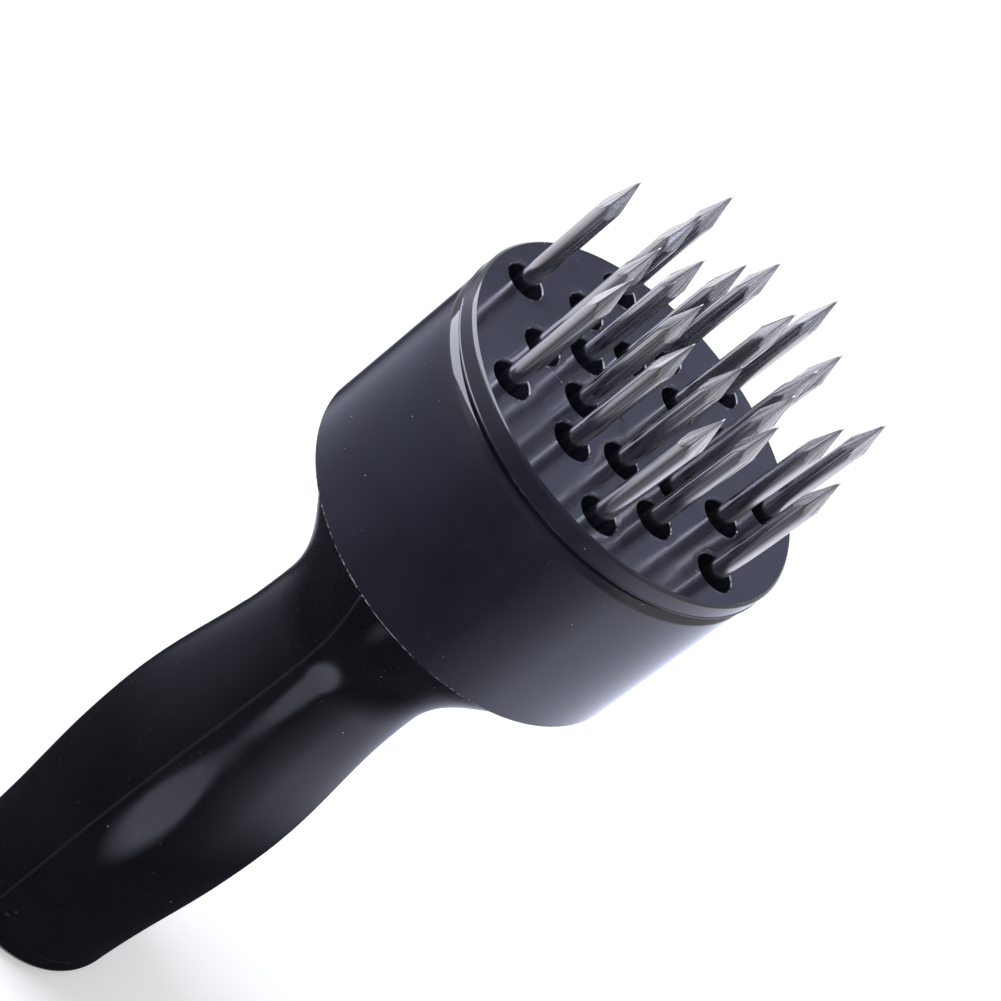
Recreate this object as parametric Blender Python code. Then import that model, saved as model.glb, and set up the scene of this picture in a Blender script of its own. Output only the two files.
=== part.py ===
"""Round push tenderizer for meat: twenty-one needles and a spring-returned guard cup.

The tool stands on its butt with the needles pointing up (+Z) and its axis on Z. The
guard is modelled pulled back, so that the needles reach out of its face, and it slides
up along the axis until it covers their points. Lengths are in metres.
"""

import math

import bmesh
import bpy
from mathutils import Matrix, Vector
from mathutils.geometry import interpolate_bezier

# Clearances
FIT_GAP = 0.0003  # between pieces that rest on, or sit in, one another
RUNNING_GAP = 0.0004  # between the guard cup and the head that it slides over
STOP_GAP = 0.0001  # left at the stop when the guard is fully out
CUT_OVERRUN = 0.001  # how far a cutter runs past the surface that it opens
MERGE_DISTANCE = 0.000001

# Guard
FACE_HEIGHT = 0.140  # guard's face above the butt, with the guard pulled back
FACE_RADIUS = 0.0275
FACE_RIM_THICKNESS = 0.0032
FACE_EDGE_ROUND = 0.0005
FACE_SPIGOT_DEPTH = 0.0012
SEAM_GROOVE = 0.0004
CUP_LENGTH = 0.0278
CUP_WALL = 0.0019
CUP_FRONT_INSET = 0.0002  # cup's front edge lies this far inside the face's edge
CUP_FLARE = 0.0004  # cup's rear edge is this much larger in radius than its front
CUP_FRONT_CHAMFER = 0.00135
CUP_REAR_ROUND = 0.0004
POST_RADIUS = 0.0040
COVER_PAST_POINTS = 0.0012  # how far the released guard's face passes the points

# Needles
NEEDLES_PER_RING = 7
NEEDLE_RADIUS = 0.00135
NEEDLE_REACH = 0.0213  # out of the guard's face when the guard is pulled back
POINT_LENGTH = 0.0070
POINT_FACETS = 4
POINT_TURN = math.radians(75)  # from the +X direction to a ridge between two facets
POINT_STRAY = math.radians(8)  # most that a needle may stand off that turn
POINT_STRAY_STEP = math.radians(137.5)  # spreads the needles between those limits
NEEDLE_HOLE_CLEARANCE = 0.00145

# Needle holder, backing plate and hub
HOLDER_THICKNESS = 0.0085
HOLDER_EDGE_WALL = 0.0009
BACKING_THICKNESS = 0.0018
HUB_WALL = 0.0019
HUB_TO_SOCKET = 0.0003
SPRING_POCKET_DEPTH = 0.0203
GUIDE_LENGTH = 0.0080
COLLAR_THICKNESS = 0.0025
COLLAR_STEP = 0.0022

# Return spring
WIRE_RADIUS = 0.0004
SPRING_TO_POST = 0.0011
SPRING_TO_POCKET = 0.0005
SPRING_CURLS = 9
POINTS_PER_CURL = 9

# Handle shells
HEAD_WALL = 0.0022
HEAD_SHOW = 0.0021  # straight part of the head that shows under the cup
WEB_THICKNESS = 0.0025
SHOULDER_LENGTH = 0.0246
NECK_RADIUS = 0.0136
SWELL_RADIUS = 0.0166
GRIP_END_RADIUS = 0.0148
GRIP_WALL = 0.0022
PARTING_AZIMUTH = math.radians(78)
SWELL_SHARE = 0.48  # of the way from the grip's end up to the neck
SHOULDER_TOP_RADIUS_SHARE = 0.605  # how far the curve's upper handle has drawn in
SHOULDER_TOP_DROP_SHARE = 0.285
SHOULDER_FOOT_DROP_SHARE = 0.614
SWELL_HANDLE_SHARE = 0.42
GRIP_END_LEAN_SHARE = 0.25

# Butt
CAP_THICKNESS = 0.0050
CAP_ROUND = 0.0025
CAP_SPIGOT_LENGTH = 0.0060
CAP_SPIGOT_WALL = 0.0020

# Screws
SCREW_RADIUS = 0.0015
SCREW_HEAD_RADIUS = 0.0028
SCREW_HEAD_HEIGHT = 0.0018
SCREW_HEAD_ROUND = 0.0006
CROSS_SLOT_WIDTH = 0.0007
CROSS_SLOT_LENGTH = 0.0034
CROSS_SLOT_DEPTH = 0.0008
BACKING_SCREW_STEPS = (0.5, 2.5, 5.5)  # in needle spacings round the ring
BACKING_SCREW_BITE = 0.0060
COUNTERSINK_DEPTH = 0.0012
STOP_SCREW_BITE = 0.0120
WASHER_RADIUS = 0.0072
WASHER_THICKNESS = 0.0012
HANDLE_SCREW_COUNT = 3
HANDLE_SCREW_SEAT = 0.0060  # from the parting plane to the underside of the head
HANDLE_SCREW_BITE = 0.0070
BOSS_WALL = 0.0020
BOSS_CLEARANCE = 0.0040

# Facets of the round surfaces
LARGE_ROUND_SIDES = 48
SMALL_ROUND_SIDES = 16
HOLE_SIDES = 14
NEEDLE_SIDES = 12
CURVE_POINTS = 7
ARC_POINTS = 4
SMOOTH_ANGLE = math.radians(32)

# Sizes that follow from those above
GUARD_TRAVEL = NEEDLE_REACH + COVER_PAST_POINTS
CUP_FRONT_RADIUS = FACE_RADIUS - CUP_FRONT_INSET
CUP_REAR_RADIUS = CUP_FRONT_RADIUS + CUP_FLARE
CUP_BORE_RADIUS = CUP_FRONT_RADIUS - CUP_WALL
HEAD_RADIUS = CUP_BORE_RADIUS - RUNNING_GAP
HEAD_BORE_RADIUS = HEAD_RADIUS - HEAD_WALL
SOCKET_RADIUS = NEEDLE_RADIUS + FIT_GAP
NEEDLE_HOLE_RADIUS = NEEDLE_RADIUS + NEEDLE_HOLE_CLEARANCE
SPRING_RADIUS = POST_RADIUS + SPRING_TO_POST + WIRE_RADIUS
POCKET_RADIUS = SPRING_RADIUS + WIRE_RADIUS + SPRING_TO_POCKET
HUB_RADIUS = POCKET_RADIUS + HUB_WALL
COLLAR_RADIUS = HUB_RADIUS + COLLAR_STEP
INNER_RING_RADIUS = HUB_RADIUS + HUB_TO_SOCKET + SOCKET_RADIUS
OUTER_RING_RADIUS = HEAD_RADIUS - HOLDER_EDGE_WALL - SOCKET_RADIUS
MIDDLE_RING_RADIUS = (INNER_RING_RADIUS + OUTER_RING_RADIUS) / 2
NEEDLE_SPACING = math.tau / NEEDLES_PER_RING

# Heights above the butt, from the guard's face down
RIM_UNDERSIDE = FACE_HEIGHT - FACE_RIM_THICKNESS
CUP_TOP = RIM_UNDERSIDE - FIT_GAP
CUP_BOTTOM = CUP_TOP - CUP_LENGTH
SPIGOT_UNDERSIDE = RIM_UNDERSIDE - FACE_SPIGOT_DEPTH
HOLDER_TOP = SPIGOT_UNDERSIDE - FIT_GAP
HOLDER_BOTTOM = HOLDER_TOP - HOLDER_THICKNESS
BACKING_TOP = HOLDER_BOTTOM - FIT_GAP
BACKING_BOTTOM = BACKING_TOP - BACKING_THICKNESS
WEB_TOP = BACKING_BOTTOM - FIT_GAP
WEB_BOTTOM = WEB_TOP - WEB_THICKNESS
COLLAR_TOP = WEB_BOTTOM - FIT_GAP
COLLAR_BOTTOM = COLLAR_TOP - COLLAR_THICKNESS
SPRING_LEDGE = HOLDER_TOP - SPRING_POCKET_DEPTH
HUB_BOTTOM = SPRING_LEDGE - GUIDE_LENGTH
WASHER_TOP = HUB_BOTTOM - STOP_GAP - GUARD_TRAVEL
WASHER_BOTTOM = WASHER_TOP - WASHER_THICKNESS
POST_BOTTOM = WASHER_TOP + FIT_GAP
STOP_HEAD_TOP = WASHER_BOTTOM - FIT_GAP
STOP_HEAD_BOTTOM = STOP_HEAD_TOP - SCREW_HEAD_HEIGHT
HEAD_BOTTOM = CUP_BOTTOM - HEAD_SHOW
NECK_HEIGHT = HEAD_BOTTOM - SHOULDER_LENGTH
GRIP_BOTTOM = CAP_THICKNESS + FIT_GAP
SWELL_HEIGHT = GRIP_BOTTOM + (NECK_HEIGHT - GRIP_BOTTOM) * SWELL_SHARE
CAP_SPIGOT_TOP = CAP_THICKNESS + CAP_SPIGOT_LENGTH
BOSS_RADIUS = SCREW_RADIUS + FIT_GAP + BOSS_WALL
TOP_BOSS_HEIGHT = STOP_HEAD_BOTTOM - BOSS_CLEARANCE - BOSS_RADIUS
LOW_BOSS_HEIGHT = CAP_SPIGOT_TOP + BOSS_CLEARANCE + BOSS_RADIUS


def clear_scene():
    for thing in list(bpy.data.objects):
        bpy.data.objects.remove(thing, do_unlink=True)


def material(name, colour, roughness, metallic=0.0):
    """A plain surface with one colour."""
    made = bpy.data.materials.new(name)
    made.use_nodes = True
    shader = made.node_tree.nodes["Principled BSDF"]
    shader.inputs["Base Color"].default_value = (*colour, 1.0)
    shader.inputs["Roughness"].default_value = roughness
    shader.inputs["Metallic"].default_value = metallic
    return made


def add_object(name, mesh, surface, location=(0, 0, 0), turn=0.0, parent=None):
    """Puts a mesh in the scene as one piece, turned about its own upright axis."""
    piece = bpy.data.objects.new(name, mesh)
    piece.location = location
    piece.rotation_euler = (0, 0, turn)
    piece.parent = parent
    if surface and not mesh.materials:
        mesh.materials.append(surface)
    bpy.context.scene.collection.objects.link(piece)
    return piece


def finish_mesh(name, shape):
    """Turns a bmesh into a mesh whose round faces shade smooth."""
    bmesh.ops.remove_doubles(shape, verts=shape.verts, dist=MERGE_DISTANCE)
    bmesh.ops.recalc_face_normals(shape, faces=shape.faces)
    mesh = bpy.data.meshes.new(name)
    shape.to_mesh(mesh)
    shape.free()
    mesh.shade_smooth()
    mesh.set_sharp_from_angle(angle=SMOOTH_ANGLE)
    return mesh


def turned_shape(outline, sides, closed, first_angle=0.0, sweep=math.tau):
    """Spins an outline of (radius, height) points about the upright axis."""
    shape = bmesh.new()
    points = [Vector((radius, 0, height)) for radius, height in outline]
    start = Matrix.Rotation(first_angle, 3, "Z")
    corners = [shape.verts.new(start @ point) for point in points]
    lines = [shape.edges.new(pair) for pair in zip(corners, corners[1:])]
    if closed:
        lines.append(shape.edges.new((corners[-1], corners[0])))
    full = sweep == math.tau
    bmesh.ops.spin(
        shape,
        geom=corners + lines,
        axis=(0, 0, 1),
        angle=sweep,
        steps=sides,
        use_merge=full,
    )
    bmesh.ops.remove_doubles(shape, verts=shape.verts, dist=MERGE_DISTANCE)
    if not full:
        rims = [edge for edge in shape.edges if edge.is_boundary]
        bmesh.ops.holes_fill(shape, edges=rims)
    return shape


def turned(name, outline, sides=LARGE_ROUND_SIDES, closed=False):
    """A full turned mesh. An open outline starts and ends on the axis."""
    return finish_mesh(name, turned_shape(outline, sides, closed))


def arc(centre, radius, first, last):
    """Points on part of a circle in the (radius, height) plane; angles in quarter turns."""
    quarter = math.pi / 2
    steps = [first + (last - first) * n / (ARC_POINTS - 1) for n in range(ARC_POINTS)]
    return [
        (
            centre[0] + radius * math.cos(step * quarter),
            centre[1] + radius * math.sin(step * quarter),
        )
        for step in steps
    ]


def rods(places, radius, low, high, sides):
    """Upright cylinders at (x, y) places, as one mesh."""
    shape = bmesh.new()
    for x, y in places:
        bmesh.ops.create_cone(
            shape,
            cap_ends=True,
            segments=sides,
            radius1=radius,
            radius2=radius,
            depth=high - low,
            matrix=Matrix.Translation((x, y, (low + high) / 2)),
        )
    return shape


def tool(name, mesh, parent=None):
    """A hidden shape that cuts or joins others."""
    piece = add_object(name, mesh, None, parent=parent)
    piece.hide_render = True
    piece.display_type = "WIRE"
    return piece


def combine(piece, other, operation):
    step = piece.modifiers.new(other.name, "BOOLEAN")
    step.object = other
    step.operation = operation
    step.solver = "EXACT"


def ring_places(radius, first_step, steps=range(NEEDLES_PER_RING)):
    """Places round a ring, counted in needle spacings from the +X direction."""
    return [
        (
            radius * math.cos((first_step + step) * NEEDLE_SPACING),
            radius * math.sin((first_step + step) * NEEDLE_SPACING),
        )
        for step in steps
    ]


def needle_places():
    """Each needle's name and place: the middle ring is half a spacing off the others."""
    rings = (
        ("inner", INNER_RING_RADIUS, 0.5),
        ("middle", MIDDLE_RING_RADIUS, 0.0),
        ("outer", OUTER_RING_RADIUS, 0.5),
    )
    return [
        (f"needle_{ring}_{number}", place)
        for ring, radius, first_step in rings
        for number, place in enumerate(ring_places(radius, first_step), 1)
    ]


def curve_between(top, top_handle, low_handle, low):
    """Points on one smooth curve in the (radius, height) plane."""
    knots = [Vector((radius, 0, height)) for radius, height in (top, top_handle, low_handle, low)]
    found = interpolate_bezier(*knots, CURVE_POINTS)
    return [(point.x, point.z) for point in found]


def grip_outline():
    """The handle's outer side under the head: shoulder, neck, swell and end."""
    draw_in = HEAD_RADIUS - NECK_RADIUS
    shoulder = curve_between(
        (HEAD_RADIUS, HEAD_BOTTOM),
        (
            NECK_RADIUS + draw_in * SHOULDER_TOP_RADIUS_SHARE,
            HEAD_BOTTOM - SHOULDER_LENGTH * SHOULDER_TOP_DROP_SHARE,
        ),
        (NECK_RADIUS, HEAD_BOTTOM - SHOULDER_LENGTH * SHOULDER_FOOT_DROP_SHARE),
        (NECK_RADIUS, NECK_HEIGHT),
    )
    upper_reach = (NECK_HEIGHT - SWELL_HEIGHT) * SWELL_HANDLE_SHARE
    upper = curve_between(
        (NECK_RADIUS, NECK_HEIGHT),
        (NECK_RADIUS, NECK_HEIGHT - upper_reach),
        (SWELL_RADIUS, SWELL_HEIGHT + upper_reach),
        (SWELL_RADIUS, SWELL_HEIGHT),
    )
    lower_reach = (SWELL_HEIGHT - GRIP_BOTTOM) * SWELL_HANDLE_SHARE
    lean = (SWELL_RADIUS - GRIP_END_RADIUS) * GRIP_END_LEAN_SHARE
    lower = curve_between(
        (SWELL_RADIUS, SWELL_HEIGHT),
        (SWELL_RADIUS, SWELL_HEIGHT - lower_reach),
        (GRIP_END_RADIUS + lean, GRIP_BOTTOM + lower_reach),
        (GRIP_END_RADIUS, GRIP_BOTTOM),
    )
    return shoulder + upper[1:] + lower[1:]


def half_shell_outline():
    """The handle shell's section: outer side down, inner side up, web round the hub."""
    outer = [(HEAD_RADIUS, BACKING_TOP)] + grip_outline()
    inner = [(radius - GRIP_WALL, height) for radius, height in reversed(grip_outline())]
    inner[-1] = (HEAD_BORE_RADIUS, HEAD_BOTTOM)
    web_hole = HUB_RADIUS + FIT_GAP
    web = [
        (HEAD_BORE_RADIUS, WEB_BOTTOM),
        (web_hole, WEB_BOTTOM),
        (web_hole, WEB_TOP),
        (HEAD_BORE_RADIUS, WEB_TOP),
        (HEAD_BORE_RADIUS, BACKING_TOP),
    ]
    return outer + inner + web


def handle_screw_heights():
    step = (TOP_BOSS_HEIGHT - LOW_BOSS_HEIGHT) / (HANDLE_SCREW_COUNT - 1)
    return [LOW_BOSS_HEIGHT + step * n for n in range(HANDLE_SCREW_COUNT)]


def grip_radius(height):
    """The outer radius of the grip at a height."""
    outline = grip_outline()
    for (upper_radius, upper), (lower_radius, lower) in zip(outline, outline[1:]):
        if lower <= height <= upper:
            share = (height - lower) / (upper - lower)
            return lower_radius + (upper_radius - lower_radius) * share
    return outline[-1][0]


def cross_rods(heights, radius, near, far, sides):
    """Cylinders across the parting plane: along Y, from near to far, at each height."""
    shape = bmesh.new()
    lay_down = Matrix.Rotation(math.pi / 2, 4, "X")
    for height, near_end, far_end in zip(heights, near, far):
        bmesh.ops.create_cone(
            shape,
            cap_ends=True,
            segments=sides,
            radius1=radius,
            radius2=radius,
            depth=abs(far_end - near_end),
            matrix=Matrix.Translation((0, (near_end + far_end) / 2, height)) @ lay_down,
        )
    return shape


def cross_bore(piece, name, radius, heights, near, far, sides):
    """Bores a half shell across the parting plane at each screw's height."""
    cutter = tool(name, finish_mesh(name, cross_rods(heights, radius, near, far, sides)), piece)
    combine(piece, cutter, "DIFFERENCE")


def half_shell(name, side, surface):
    """One half of the handle, on the +Y side (1) or the -Y side (-1) of the parting plane."""
    first_angle = 0 if side > 0 else math.pi
    sides = LARGE_ROUND_SIDES // 2
    section = turned_shape(half_shell_outline(), sides, True, first_angle, math.pi)
    away = Matrix.Rotation(PARTING_AZIMUTH, 3, "Z") @ Vector((0, side, 0)) * (FIT_GAP / 2)
    piece = add_object(name, finish_mesh(name, section), surface, away, PARTING_AZIMUTH)

    heights = handle_screw_heights()
    parting = [0 for _ in heights]
    in_wall = [side * (grip_radius(height) - GRIP_WALL / 2) for height in heights]
    bosses = cross_rods(heights, BOSS_RADIUS, parting, in_wall, SMALL_ROUND_SIDES)
    joined = tool(f"{name}_bosses", finish_mesh(f"{name}_bosses", bosses), piece)
    combine(piece, joined, "UNION")

    shank = SCREW_RADIUS + FIT_GAP
    head = SCREW_HEAD_RADIUS + FIT_GAP
    before = [-side * CUT_OVERRUN for _ in heights]
    outside = [grip_radius(height) + CUT_OVERRUN for height in heights]
    seats = [HANDLE_SCREW_SEAT for _ in heights]
    blind = [-HANDLE_SCREW_BITE - FIT_GAP for _ in heights]
    if side > 0:
        cross_bore(piece, "shank_bores", shank, heights, before, outside, HOLE_SIDES)
        cross_bore(piece, "head_bores", head, heights, seats, outside, SMALL_ROUND_SIDES)
    else:
        cross_bore(piece, "screw_pilots", shank, heights, before, blind, HOLE_SIDES)


def pan_screw(bite):
    """A screw with its axis on Z, shank up, the head's underside at zero."""
    outline = [(0, -SCREW_HEAD_HEIGHT)]
    outline += arc(
        (SCREW_HEAD_RADIUS - SCREW_HEAD_ROUND, SCREW_HEAD_ROUND - SCREW_HEAD_HEIGHT),
        SCREW_HEAD_ROUND,
        -1,
        0,
    )
    outline += [(SCREW_HEAD_RADIUS, 0), (SCREW_RADIUS, 0), (SCREW_RADIUS, bite), (0, bite)]
    return turned_shape(outline, SMALL_ROUND_SIDES, False)


def cross_slot():
    """The driver's cross in a pan head, as a cutter under the head."""
    long, short = CROSS_SLOT_LENGTH / 2, CROSS_SLOT_WIDTH / 2
    corner = [(long, -short), (long, short), (short, short)]
    shape = bmesh.new()
    rim = []
    for quarter in range(4):
        turn = Matrix.Rotation(quarter * math.pi / 2, 3, "Z")
        for x, y in corner:
            rim.append(shape.verts.new(turn @ Vector((x, y, CROSS_SLOT_DEPTH))))
    top = shape.faces.new(rim)
    sunk = bmesh.ops.extrude_face_region(shape, geom=[top])["geom"]
    low = [part for part in sunk if isinstance(part, bmesh.types.BMVert)]
    depth = CROSS_SLOT_DEPTH + CUT_OVERRUN
    bmesh.ops.translate(shape, vec=(0, 0, -depth), verts=low)
    bmesh.ops.translate(shape, vec=(0, 0, -SCREW_HEAD_HEIGHT), verts=shape.verts)
    return shape


def crossed_screw(name, bite, location, surface, parent=None, lay=(0, 0, 0)):
    """A pan-head screw with a driver's cross, its head's underside at its origin."""
    piece = add_object(
        name, finish_mesh(name, pan_screw(bite)), surface, location, parent=parent
    )
    piece.rotation_euler = lay
    cross = tool(f"{name}_cross", finish_mesh(f"{name}_cross", cross_slot()), piece)
    combine(piece, cross, "DIFFERENCE")
    return piece


def make_face_plate(parent, surface):
    """The perforated face with its spigot and the guide post moulded behind it."""
    rim = -FACE_RIM_THICKNESS
    step = rim - FACE_SPIGOT_DEPTH
    post_end = POST_BOTTOM - FACE_HEIGHT
    spigot_radius = CUP_BORE_RADIUS - FIT_GAP
    outline = [(0, post_end), (POST_RADIUS, post_end), (POST_RADIUS, step)]
    outline += [(spigot_radius, step), (spigot_radius, rim)]
    outline += [(FACE_RADIUS - SEAM_GROOVE, rim), (FACE_RADIUS, rim + SEAM_GROOVE)]
    outline += arc((FACE_RADIUS - FACE_EDGE_ROUND, -FACE_EDGE_ROUND), FACE_EDGE_ROUND, 0, 1)
    outline += [(0, 0)]
    plate = add_object(
        "guard_face_plate", turned("guard_face_plate", outline), surface, parent=parent
    )
    places = [place for _, place in needle_places()]
    holes = rods(places, NEEDLE_HOLE_RADIUS, step - CUT_OVERRUN, CUT_OVERRUN, HOLE_SIDES)
    combine(plate, tool("needle_holes", finish_mesh("needle_holes", holes), parent), "DIFFERENCE")
    pilot = rods(
        [(0, 0)],
        SCREW_RADIUS + FIT_GAP,
        post_end - CUT_OVERRUN,
        post_end + STOP_SCREW_BITE + FIT_GAP,
        HOLE_SIDES,
    )
    combine(plate, tool("post_pilot", finish_mesh("post_pilot", pilot), parent), "DIFFERENCE")


def make_cup(parent, surface):
    outline = [(CUP_BORE_RADIUS, 0), (CUP_FRONT_RADIUS - CUP_FRONT_CHAMFER, 0)]
    outline += [(CUP_FRONT_RADIUS, -CUP_FRONT_CHAMFER)]
    outline += arc(
        (CUP_REAR_RADIUS - CUP_REAR_ROUND, CUP_REAR_ROUND - CUP_LENGTH), CUP_REAR_ROUND, 0, -1
    )
    outline += [(CUP_BORE_RADIUS, -CUP_LENGTH)]
    cup = turned("guard_cup", outline, closed=True)
    add_object("guard_cup", cup, surface, (0, 0, CUP_TOP - FACE_HEIGHT), parent=parent)


def make_stop(parent, washer_surface, screw_surface):
    """The washer and screw that keep the guide post from leaving the hub."""
    hole = SCREW_RADIUS + FIT_GAP
    outline = [
        (hole, 0),
        (WASHER_RADIUS, 0),
        (WASHER_RADIUS, -WASHER_THICKNESS),
        (hole, -WASHER_THICKNESS),
    ]
    washer = turned("stop_washer", outline, SMALL_ROUND_SIDES, closed=True)
    add_object(
        "stop_washer", washer, washer_surface, (0, 0, WASHER_TOP - FACE_HEIGHT), parent=parent
    )
    length = POST_BOTTOM + STOP_SCREW_BITE - STOP_HEAD_TOP
    place = (0, 0, STOP_HEAD_TOP - FACE_HEIGHT)
    crossed_screw("stop_screw", length, place, screw_surface, parent)


def make_spring(surface):
    """One unbroken tube, from the ledge in the hub to the back of the face plate."""
    low = SPRING_LEDGE + FIT_GAP
    high = SPIGOT_UNDERSIDE - FIT_GAP
    straight = WIRE_RADIUS * 2
    steps = SPRING_CURLS * POINTS_PER_CURL
    climb = (high - low - straight * 2) / steps
    points = [Vector((SPRING_RADIUS, 0, low))]
    for step in range(steps + 1):
        angle = step * math.tau / POINTS_PER_CURL
        x = SPRING_RADIUS * math.cos(angle)
        y = SPRING_RADIUS * math.sin(angle)
        points.append(Vector((x, y, low + straight + climb * step)))
    points.append(Vector((SPRING_RADIUS, 0, high)))
    curve = bpy.data.curves.new("return_spring", "CURVE")
    curve.dimensions = "3D"
    curve.bevel_depth = WIRE_RADIUS
    curve.bevel_resolution = 1
    curve.use_fill_caps = True
    line = curve.splines.new("POLY")
    line.points.add(len(points) - 1)
    for slot, point in zip(line.points, points):
        slot.co = (*point, 1.0)
    curve.materials.append(surface)
    piece = bpy.data.objects.new("return_spring", curve)
    bpy.context.scene.collection.objects.link(piece)
    apart = min(
        (a - b).length
        for n, a in enumerate(points)
        for b in points[n + POINTS_PER_CURL // 2 :]
    )
    print(f"return_spring: least gap to itself {(apart - WIRE_RADIUS * 2) * 1000:.2f} mm")


def make_holder(surface):
    """The disc that grips the needles, with the hub that guides the post behind it."""
    guide = POST_RADIUS + FIT_GAP
    outline = [
        (POCKET_RADIUS, HOLDER_TOP),
        (HEAD_RADIUS, HOLDER_TOP),
        (HEAD_RADIUS, HOLDER_BOTTOM),
        (HUB_RADIUS, HOLDER_BOTTOM),
        (HUB_RADIUS, COLLAR_TOP),
        (COLLAR_RADIUS, COLLAR_TOP),
        (COLLAR_RADIUS, COLLAR_BOTTOM),
        (HUB_RADIUS, COLLAR_BOTTOM),
        (HUB_RADIUS, HUB_BOTTOM),
        (guide, HUB_BOTTOM),
        (guide, SPRING_LEDGE),
        (POCKET_RADIUS, SPRING_LEDGE),
    ]
    holder = add_object("needle_holder", turned("needle_holder", outline, closed=True), surface)
    places = [place for _, place in needle_places()]
    sockets = rods(
        places, SOCKET_RADIUS, HOLDER_BOTTOM - CUT_OVERRUN, HOLDER_TOP + CUT_OVERRUN, NEEDLE_SIDES
    )
    combine(holder, tool("needle_sockets", finish_mesh("needle_sockets", sockets)), "DIFFERENCE")
    pilots = rods(
        ring_places(MIDDLE_RING_RADIUS, 0, BACKING_SCREW_STEPS),
        SCREW_RADIUS + FIT_GAP,
        HOLDER_BOTTOM - CUT_OVERRUN,
        HOLDER_BOTTOM + BACKING_SCREW_BITE + FIT_GAP,
        HOLE_SIDES,
    )
    combine(holder, tool("holder_pilots", finish_mesh("holder_pilots", pilots)), "DIFFERENCE")


def countersunk_outline(low, clearance):
    """A flat-headed screw from the axis out, up its shank, widened by a clearance."""
    head = SCREW_HEAD_RADIUS + clearance
    shank = SCREW_RADIUS + clearance
    return [
        (0, low),
        (head, low),
        (head, BACKING_BOTTOM),
        (shank, BACKING_BOTTOM + COUNTERSINK_DEPTH + clearance),
    ]


def make_backing(plate_surface, screw_surface):
    """The steel plate behind the needles, and the flat-headed screws that hold it."""
    bore = HUB_RADIUS + FIT_GAP
    edge = HEAD_BORE_RADIUS - FIT_GAP
    outline = [
        (bore, BACKING_TOP),
        (edge, BACKING_TOP),
        (edge, BACKING_BOTTOM),
        (bore, BACKING_BOTTOM),
    ]
    plate = add_object(
        "needle_backing_plate", turned("needle_backing_plate", outline, closed=True), plate_surface
    )
    places = ring_places(MIDDLE_RING_RADIUS, 0, BACKING_SCREW_STEPS)
    above = BACKING_TOP + CUT_OVERRUN
    hole = countersunk_outline(BACKING_BOTTOM - CUT_OVERRUN, FIT_GAP)
    hole += [(hole[-1][0], above), (0, above)]
    tip = HOLDER_BOTTOM + BACKING_SCREW_BITE
    screw = countersunk_outline(BACKING_BOTTOM, 0)[2:]
    screw = [(0, BACKING_BOTTOM)] + screw + [(SCREW_RADIUS, tip), (0, tip)]
    screw_mesh = turned("backing_screw", screw, SMALL_ROUND_SIDES)
    sink_mesh = turned("countersink", hole, SMALL_ROUND_SIDES)
    for number, (x, y) in enumerate(places, 1):
        add_object(f"backing_screw_{number}", screw_mesh, screw_surface, (x, y, 0))
        sink = tool(f"countersink_{number}", sink_mesh)
        sink.location = (x, y, 0)
        combine(plate, sink, "DIFFERENCE")


def make_needles(surface):
    """One pointed needle mesh, shared by an object for each socket."""
    foot = HOLDER_BOTTOM
    length = FACE_HEIGHT + NEEDLE_REACH - foot
    shape = rods([(0, 0)], NEEDLE_RADIUS, 0, length, NEEDLE_SIDES)
    slope = math.atan2(NEEDLE_RADIUS, POINT_LENGTH)
    for facet in range(POINT_FACETS):
        angle = (facet + 1 / 2) * math.tau / POINT_FACETS
        outward = Vector((math.cos(slope), 0, math.sin(slope)))
        outward.rotate(Matrix.Rotation(angle, 3, "Z"))
        bmesh.ops.bisect_plane(
            shape,
            geom=shape.verts[:] + shape.edges[:] + shape.faces[:],
            dist=MERGE_DISTANCE,
            plane_co=(0, 0, length),
            plane_no=outward,
            clear_outer=True,
        )
        open_edges = [edge for edge in shape.edges if edge.is_boundary]
        bmesh.ops.holes_fill(shape, edges=open_edges)
    mesh = finish_mesh("needle", shape)
    for number, (name, (x, y)) in enumerate(needle_places()):
        turn = POINT_TURN + POINT_STRAY * math.sin(POINT_STRAY_STEP * number)
        add_object(name, mesh, surface, (x, y, foot), turn)


def make_handle_screws(surface):
    """Screws across the parting plane, their heads down in the first half's bores."""
    around = Matrix.Rotation(PARTING_AZIMUTH, 3, "Z")
    lay = (math.pi / 2, 0, PARTING_AZIMUTH)
    underside = HANDLE_SCREW_SEAT + FIT_GAP / 2 + FIT_GAP
    for number, height in enumerate(handle_screw_heights(), 1):
        head = around @ Vector((0, underside, height))
        bite = underside + HANDLE_SCREW_BITE
        crossed_screw(f"handle_screw_{number}", bite, head, surface, lay=lay)


def make_end_cap(surface):
    """The butt: a round-edged cap whose ring sits in the ends of both shells."""
    ring_outer = GRIP_END_RADIUS - GRIP_WALL - FIT_GAP
    ring_inner = ring_outer - CAP_SPIGOT_WALL
    outline = [(0, 0)]
    outline += arc((GRIP_END_RADIUS - CAP_ROUND, CAP_ROUND), CAP_ROUND, -1, 0)
    outline += [(GRIP_END_RADIUS, CAP_THICKNESS), (ring_outer, CAP_THICKNESS)]
    outline += [(ring_outer, CAP_SPIGOT_TOP), (ring_inner, CAP_SPIGOT_TOP)]
    outline += [(ring_inner, CAP_THICKNESS), (0, CAP_THICKNESS)]
    add_object("end_cap", turned("end_cap", outline), surface)


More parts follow.
